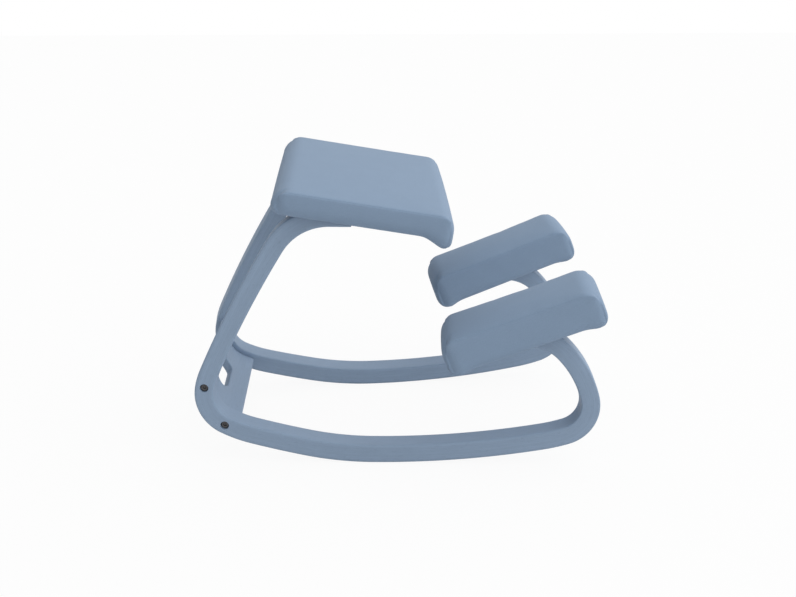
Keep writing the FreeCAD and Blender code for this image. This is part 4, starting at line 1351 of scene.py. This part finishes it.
    def cloth_map(self, points: np.ndarray, faces: list, panels: np.ndarray) -> np.ndarray:
        """The cloth's (u, v) at each face corner: each panel is laid flat on its own two axes."""
        rows = [np.asarray(row) for block in faces for row in np.asarray(block).tolist()]
        sizes = np.array([len(row) for row in rows])
        corners = np.concatenate(rows)
        panel = np.repeat(panels, sizes)[:, None]
        along, across, height = points[corners].T[:, :, None]
        flat = np.concatenate([along, across], axis=1)
        side = np.concatenate([along, height], axis=1)
        end = np.concatenate([height, across], axis=1)
        laid = np.where(panel == Panel.SIDE.value, side, np.where(panel == Panel.END.value, end, flat))
        return laid * MM

    def swell(self, piece: bpy.types.Object, hold: np.ndarray) -> None:
        """Blow the cover up from inside as cloth, and keep a part of what it moved.

        The moves are scaled so that the greatest is the size's swell.

        Args:
            piece: the closed cover.
            hold: how firmly each point is held, from 0 to 1.
        """
        before = read_points(piece.data)
        group = piece.vertex_groups.new(name="hold")
        for level in np.unique(hold[hold > 0]):
            group.add(np.flatnonzero(hold == level).tolist(), float(level), "REPLACE")
        cloth = piece.modifiers.new("filling", "CLOTH")
        cloth.settings.use_pressure = True
        cloth.settings.uniform_pressure_force = 4.0
        cloth.settings.effector_weights.gravity = 0.0
        cloth.settings.vertex_group_mass = group.name
        cloth.settings.quality = 5
        cloth.point_cache.frame_start, cloth.point_cache.frame_end = 1, 20
        for number in range(1, 21):
            bpy.context.scene.frame_set(number)
        bake_modifiers(piece)
        piece.vertex_groups.clear()
        bpy.context.scene.frame_set(1)
        move = read_points(piece.data) - before
        greatest = np.linalg.norm(move, axis=1).max()
        write_points(piece.data, before + move * min(1.0, self.size.swell * MM / greatest))

    def sew(self, piece: bpy.types.Object, seams: np.ndarray) -> None:
        """Draw the seams in, square to the surface."""
        normals = np.zeros(len(seams) * 3, np.float32)
        piece.data.vertices.foreach_get("normal", normals)
        points = read_points(piece.data)
        points[seams] -= normals.reshape(-1, 3)[seams] * self.groove * MM
        write_points(piece.data, points)

    def build(self) -> bpy.types.Object:
        """The finished cover, closed and filled."""
        points, faces, panels, hold, seams = self.form()
        maps = {"cloth": self.cloth_map(points, faces, panels)}
        piece = make_object(self.name, self.place.out(points), faces, maps,
                            self.finishes[Finish.CLOTH])
        self.swell(piece, hold)
        self.sew(piece, seams)
        smooth = piece.modifiers.new("soften", "SUBSURF")
        smooth.levels = smooth.render_levels = 1
        return piece


@dataclass
class Staples:
    """Wire staples that hold a cushion's lining to its plate.

    Attributes:
        name: name of the piece.
        size: the cushion's sizes.
        place: the cushion's axes.
        finishes: materials.
        pitch: distance between staples.
        inset: from the lining's edge to the row.
        wire: half thickness of the wire.
        crown: half length of a staple.
    """

    name: str
    size: CushionSize
    place: Place
    finishes: dict[Finish, bpy.types.Material]
    pitch: float = 34.0
    inset: float = 6.0
    wire: float = 0.55
    crown: float = 5.0

    def build(self) -> bpy.types.Object:
        """A ring of staples: one eased bar is repeated along the lining's outline.

        A staple's point is its place on the outline, plus its length's share along the outline's
        direction, its width across it and its height below the lining.

        Returns:
            All staples as one piece.
        """
        half = np.array([self.size.half_length, self.size.half_width])
        half = half - self.size.recess[0] - self.inset
        loop = rounded_loop(half[0], half[1], self.size.recess[1] - self.inset, 60, 60, 8)
        steps = np.roll(loop, -1, axis=0) - loop
        walked = np.concatenate([[0.0], np.cumsum(np.hypot(*steps.T))])
        closed = np.concatenate([loop, loop[:1]])
        count = int(walked[-1] / self.pitch)
        at = (np.arange(count) + 0.5) * walked[-1] / count
        centre = np.stack([np.interp(at, walked, closed[:, axis]) for axis in (0, 1)], axis=-1)
        ahead = np.stack([np.interp(at + 0.5, walked, closed[:, axis]) for axis in (0, 1)], axis=-1)
        way = (ahead - centre) / np.linalg.norm(ahead - centre, axis=1)[:, None]
        aside = np.stack([-way[:, 1], way[:, 0]], axis=-1)
        lengths = np.array([-1.0, -0.85, 0.85, 1.0]) * self.crown
        thick = np.array([0.45, 1.0, 1.0, 0.45]) * self.wire
        angle = np.arange(6) * np.pi / 3
        out, down = thick[:, None] * np.cos(angle), thick[:, None] * np.sin(angle)
        flat = (centre[:, None, None] + lengths[None, :, None, None] * way[:, None, None]
                + out[None, :, :, None] * aside[:, None, None])
        height = np.broadcast_to(-LINING - 0.2 + down, flat.shape[:-1])
        points = np.concatenate([flat, height[..., None]], axis=-1).reshape(-1, 3)
        size = len(lengths) * len(angle)
        single = grid_faces(len(lengths), len(angle), False, True)
        quads = (single[None] + np.arange(count)[:, None, None] * size).reshape(-1, 4)
        caps = [[number * size + end + step for step in range(6)]
                for number in range(count) for end in (0, size - 6)]
        return make_object(self.name, self.place.out(points), [quads, caps],
                           {"grain": points[:, :2] * MM}, self.finishes[Finish.ZINC])


@dataclass
class Upholstery:
    """The seat and both knee rests.

    Attributes:
        finishes: materials.
    """

    finishes: dict[Finish, bpy.types.Material]

    def build(self) -> None:
        """Every cushion, with its lining's staples."""
        seat = Cushion("seat_cushion", SEAT_SIZE, SEAT, self.finishes).build()
        right = Cushion("right_knee_cushion", KNEE_SIZE, KNEE, self.finishes).build()
        left = mirror_object(right, "left_knee_cushion")
        for piece, side in ((seat, "seat"), (right, "right_knee"), (left, "left_knee")):
            settle(piece, Finish.CLOTH.value, f"{side}_cover", f"{side}_foam")
        wire = Staples("seat_staples", SEAT_SIZE, SEAT, self.finishes).build()
        right_wire = Staples("right_knee_staples", KNEE_SIZE, KNEE, self.finishes).build()
        left_wire = mirror_object(right_wire, "left_knee_staples")
        for piece in (wire, right_wire, left_wire):
            settle(piece, Finish.ZINC.value)

    def dress_nodes(self) -> None:
        """Give the frame's own plates, linings and nuts their finishes."""
        wear = {"plate": Finish.PLYWOOD, "lining": Finish.LINING, "tee_nuts": Finish.ZINC}
        for name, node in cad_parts.items():
            for ending, finish in wear.items():
                if name.endswith(ending):
                    dress(node, self.finishes[finish])


def dress(node: bpy.types.Object, material: bpy.types.Material) -> None:
    """Put a finish on one of the frame's own nodes."""
    if not node.material_slots:
        node.data.materials.append(material)
    for slot in node.material_slots:
        slot.material = material
    LOG.info("%s: finished", node.name)


# Studio


@dataclass
class Studio:
    """Camera, light and floor.

    The light is a soft sky that is brightest on the side the chair faces. A ray in direction d
    meets the strength base + side x d.x + above x d.z.

    Attributes:
        eye: where the camera stands, in metres.
        yaw: turn of its view from +Y towards +X, in radians.
        pitch: how far it looks down, in radians.
        focal: focal length in pixels of the photograph.
        base: strength of the sky all round.
        side: how much brighter the front is than the middle.
        above: how much brighter straight up is than the middle.
        lamp: power of the soft lamp at the front, in watts.
        ground_shade: how much of the floor's shade shows.
    """

    eye: tuple[float, float, float] = (-0.0599, -2.2017, 1.0094)
    yaw: float = 0.0305
    pitch: float = 0.3346
    focal: float = 1227.07
    base: float = 0.62
    side: float = 0.60
    above: float = 0.52
    lamp: float = 5.0
    ground_shade: float = 0.07

    def camera(self) -> None:
        """A camera at the photograph's place and angle."""
        data = bpy.data.cameras.new("camera")
        data.sensor_width = 36.0
        data.lens = self.focal * data.sensor_width / PHOTO_SIZE[0]
        eye = bpy.data.objects.new("camera", data)
        ahead = Vector((np.sin(self.yaw) * np.cos(self.pitch),
                        np.cos(self.yaw) * np.cos(self.pitch), -np.sin(self.pitch)))
        eye.location = self.eye
        eye.rotation_mode = "QUATERNION"
        eye.rotation_quaternion = ahead.to_track_quat("-Z", "Y")
        bpy.context.scene.collection.objects.link(eye)
        bpy.context.scene.camera = eye

    def sky(self) -> None:
        """White to the camera, and a soft sky to everything else."""
        world = bpy.data.worlds.new("sky")
        world.use_nodes = True
        bpy.context.scene.world = world
        tree = world.node_tree
        nodes, links = tree.nodes, tree.links
        nodes.clear()
        place = nodes.new("ShaderNodeTexCoord")
        split = nodes.new("ShaderNodeSeparateXYZ")
        links.new(place.outputs["Generated"], split.inputs[0])
        total = None
        for axis, amount in (("X", self.side), ("Z", self.above)):
            part = nodes.new("ShaderNodeMath")
            part.operation = "MULTIPLY_ADD"
            part.inputs[1].default_value = amount
            part.inputs[2].default_value = self.base
            links.new(split.outputs[axis], part.inputs[0])
            if total is not None:
                links.new(total, part.inputs[2])
            total = part.outputs[0]
        soft, plain = nodes.new("ShaderNodeBackground"), nodes.new("ShaderNodeBackground")
        links.new(total, soft.inputs["Strength"])
        soft.inputs["Color"].default_value = (1, 1, 1, 1)
        plain.inputs["Color"].default_value = (1, 1, 1, 1)
        rays, mix = nodes.new("ShaderNodeLightPath"), nodes.new("ShaderNodeMixShader")
        out = nodes.new("ShaderNodeOutputWorld")
        links.new(rays.outputs["Is Camera Ray"], mix.inputs[0])
        links.new(soft.outputs[0], mix.inputs[1])
        links.new(plain.outputs[0], mix.inputs[2])
        links.new(mix.outputs[0], out.inputs["Surface"])

    def soft_lamp(self) -> None:
        """One large lamp in front of the chair, above it."""
        data = bpy.data.lights.new("soft_lamp", "AREA")
        data.shape = "DISK"
        data.size = 1.8
        data.energy = self.lamp
        lamp = bpy.data.objects.new("soft_lamp", data)
        lamp.location = (1.9, -0.9, 1.9)
        lamp.rotation_mode = "QUATERNION"
        aim = Vector((0.0, 0.0, 0.25)) - Vector(lamp.location)
        lamp.rotation_quaternion = aim.to_track_quat("-Z", "Y")
        bpy.context.scene.collection.objects.link(lamp)

    def floor(self) -> None:
        """A pale floor that is white to the camera, apart from a faint shadow."""
        half = 6000.0
        points = np.array([[-half, -half, 0.0], [half, -half, 0.0], [half, half, 0.0],
                           [-half, half, 0.0]])
        pale = Nodes("pale_floor", 0.9)
        pale.shader.inputs["Base Color"].default_value = (0.78, 0.78, 0.78, 1.0)
        tree = pale.tree
        glow = tree.nodes.new("ShaderNodeEmission")
        rays, mix = tree.nodes.new("ShaderNodeLightPath"), tree.nodes.new("ShaderNodeMixShader")
        seen = pale.math("MAXIMUM", rays.outputs["Is Camera Ray"], rays.outputs["Is Glossy Ray"])
        seen = pale.math("MAXIMUM", seen, rays.outputs["Is Transmission Ray"])
        pale.link(pale.math("MULTIPLY", seen, 1 - self.ground_shade), mix.inputs[0])
        pale.link(pale.shader.outputs[0], mix.inputs[1])
        pale.link(glow.outputs[0], mix.inputs[2])
        pale.link(mix.outputs[0], tree.nodes["Material Output"].inputs["Surface"])
        ground = make_object("floor", points, [[[0, 1, 2, 3]]], {}, pale.material)

    def build(self) -> None:
        """Everything round the chair."""
        self.camera()
        self.sky()
        self.soft_lamp()
        self.floor()
        bpy.context.scene.view_settings.view_transform = "Standard"


def main() -> None:
    """Build the studio, then the chair's sub-assemblies in order."""
    logging.basicConfig(level=logging.INFO, format="%(name)s %(message)s")
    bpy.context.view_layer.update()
    Studio().build()
    finishes = make_finishes()
    Runners(finishes).build()
    board = CrossBoard(finishes)
    board.build()
    Fasteners(finishes, board).build()
    upholstery = Upholstery(finishes)
    upholstery.build()
    upholstery.dress_nodes()


if __name__ == "__main__":
    main()
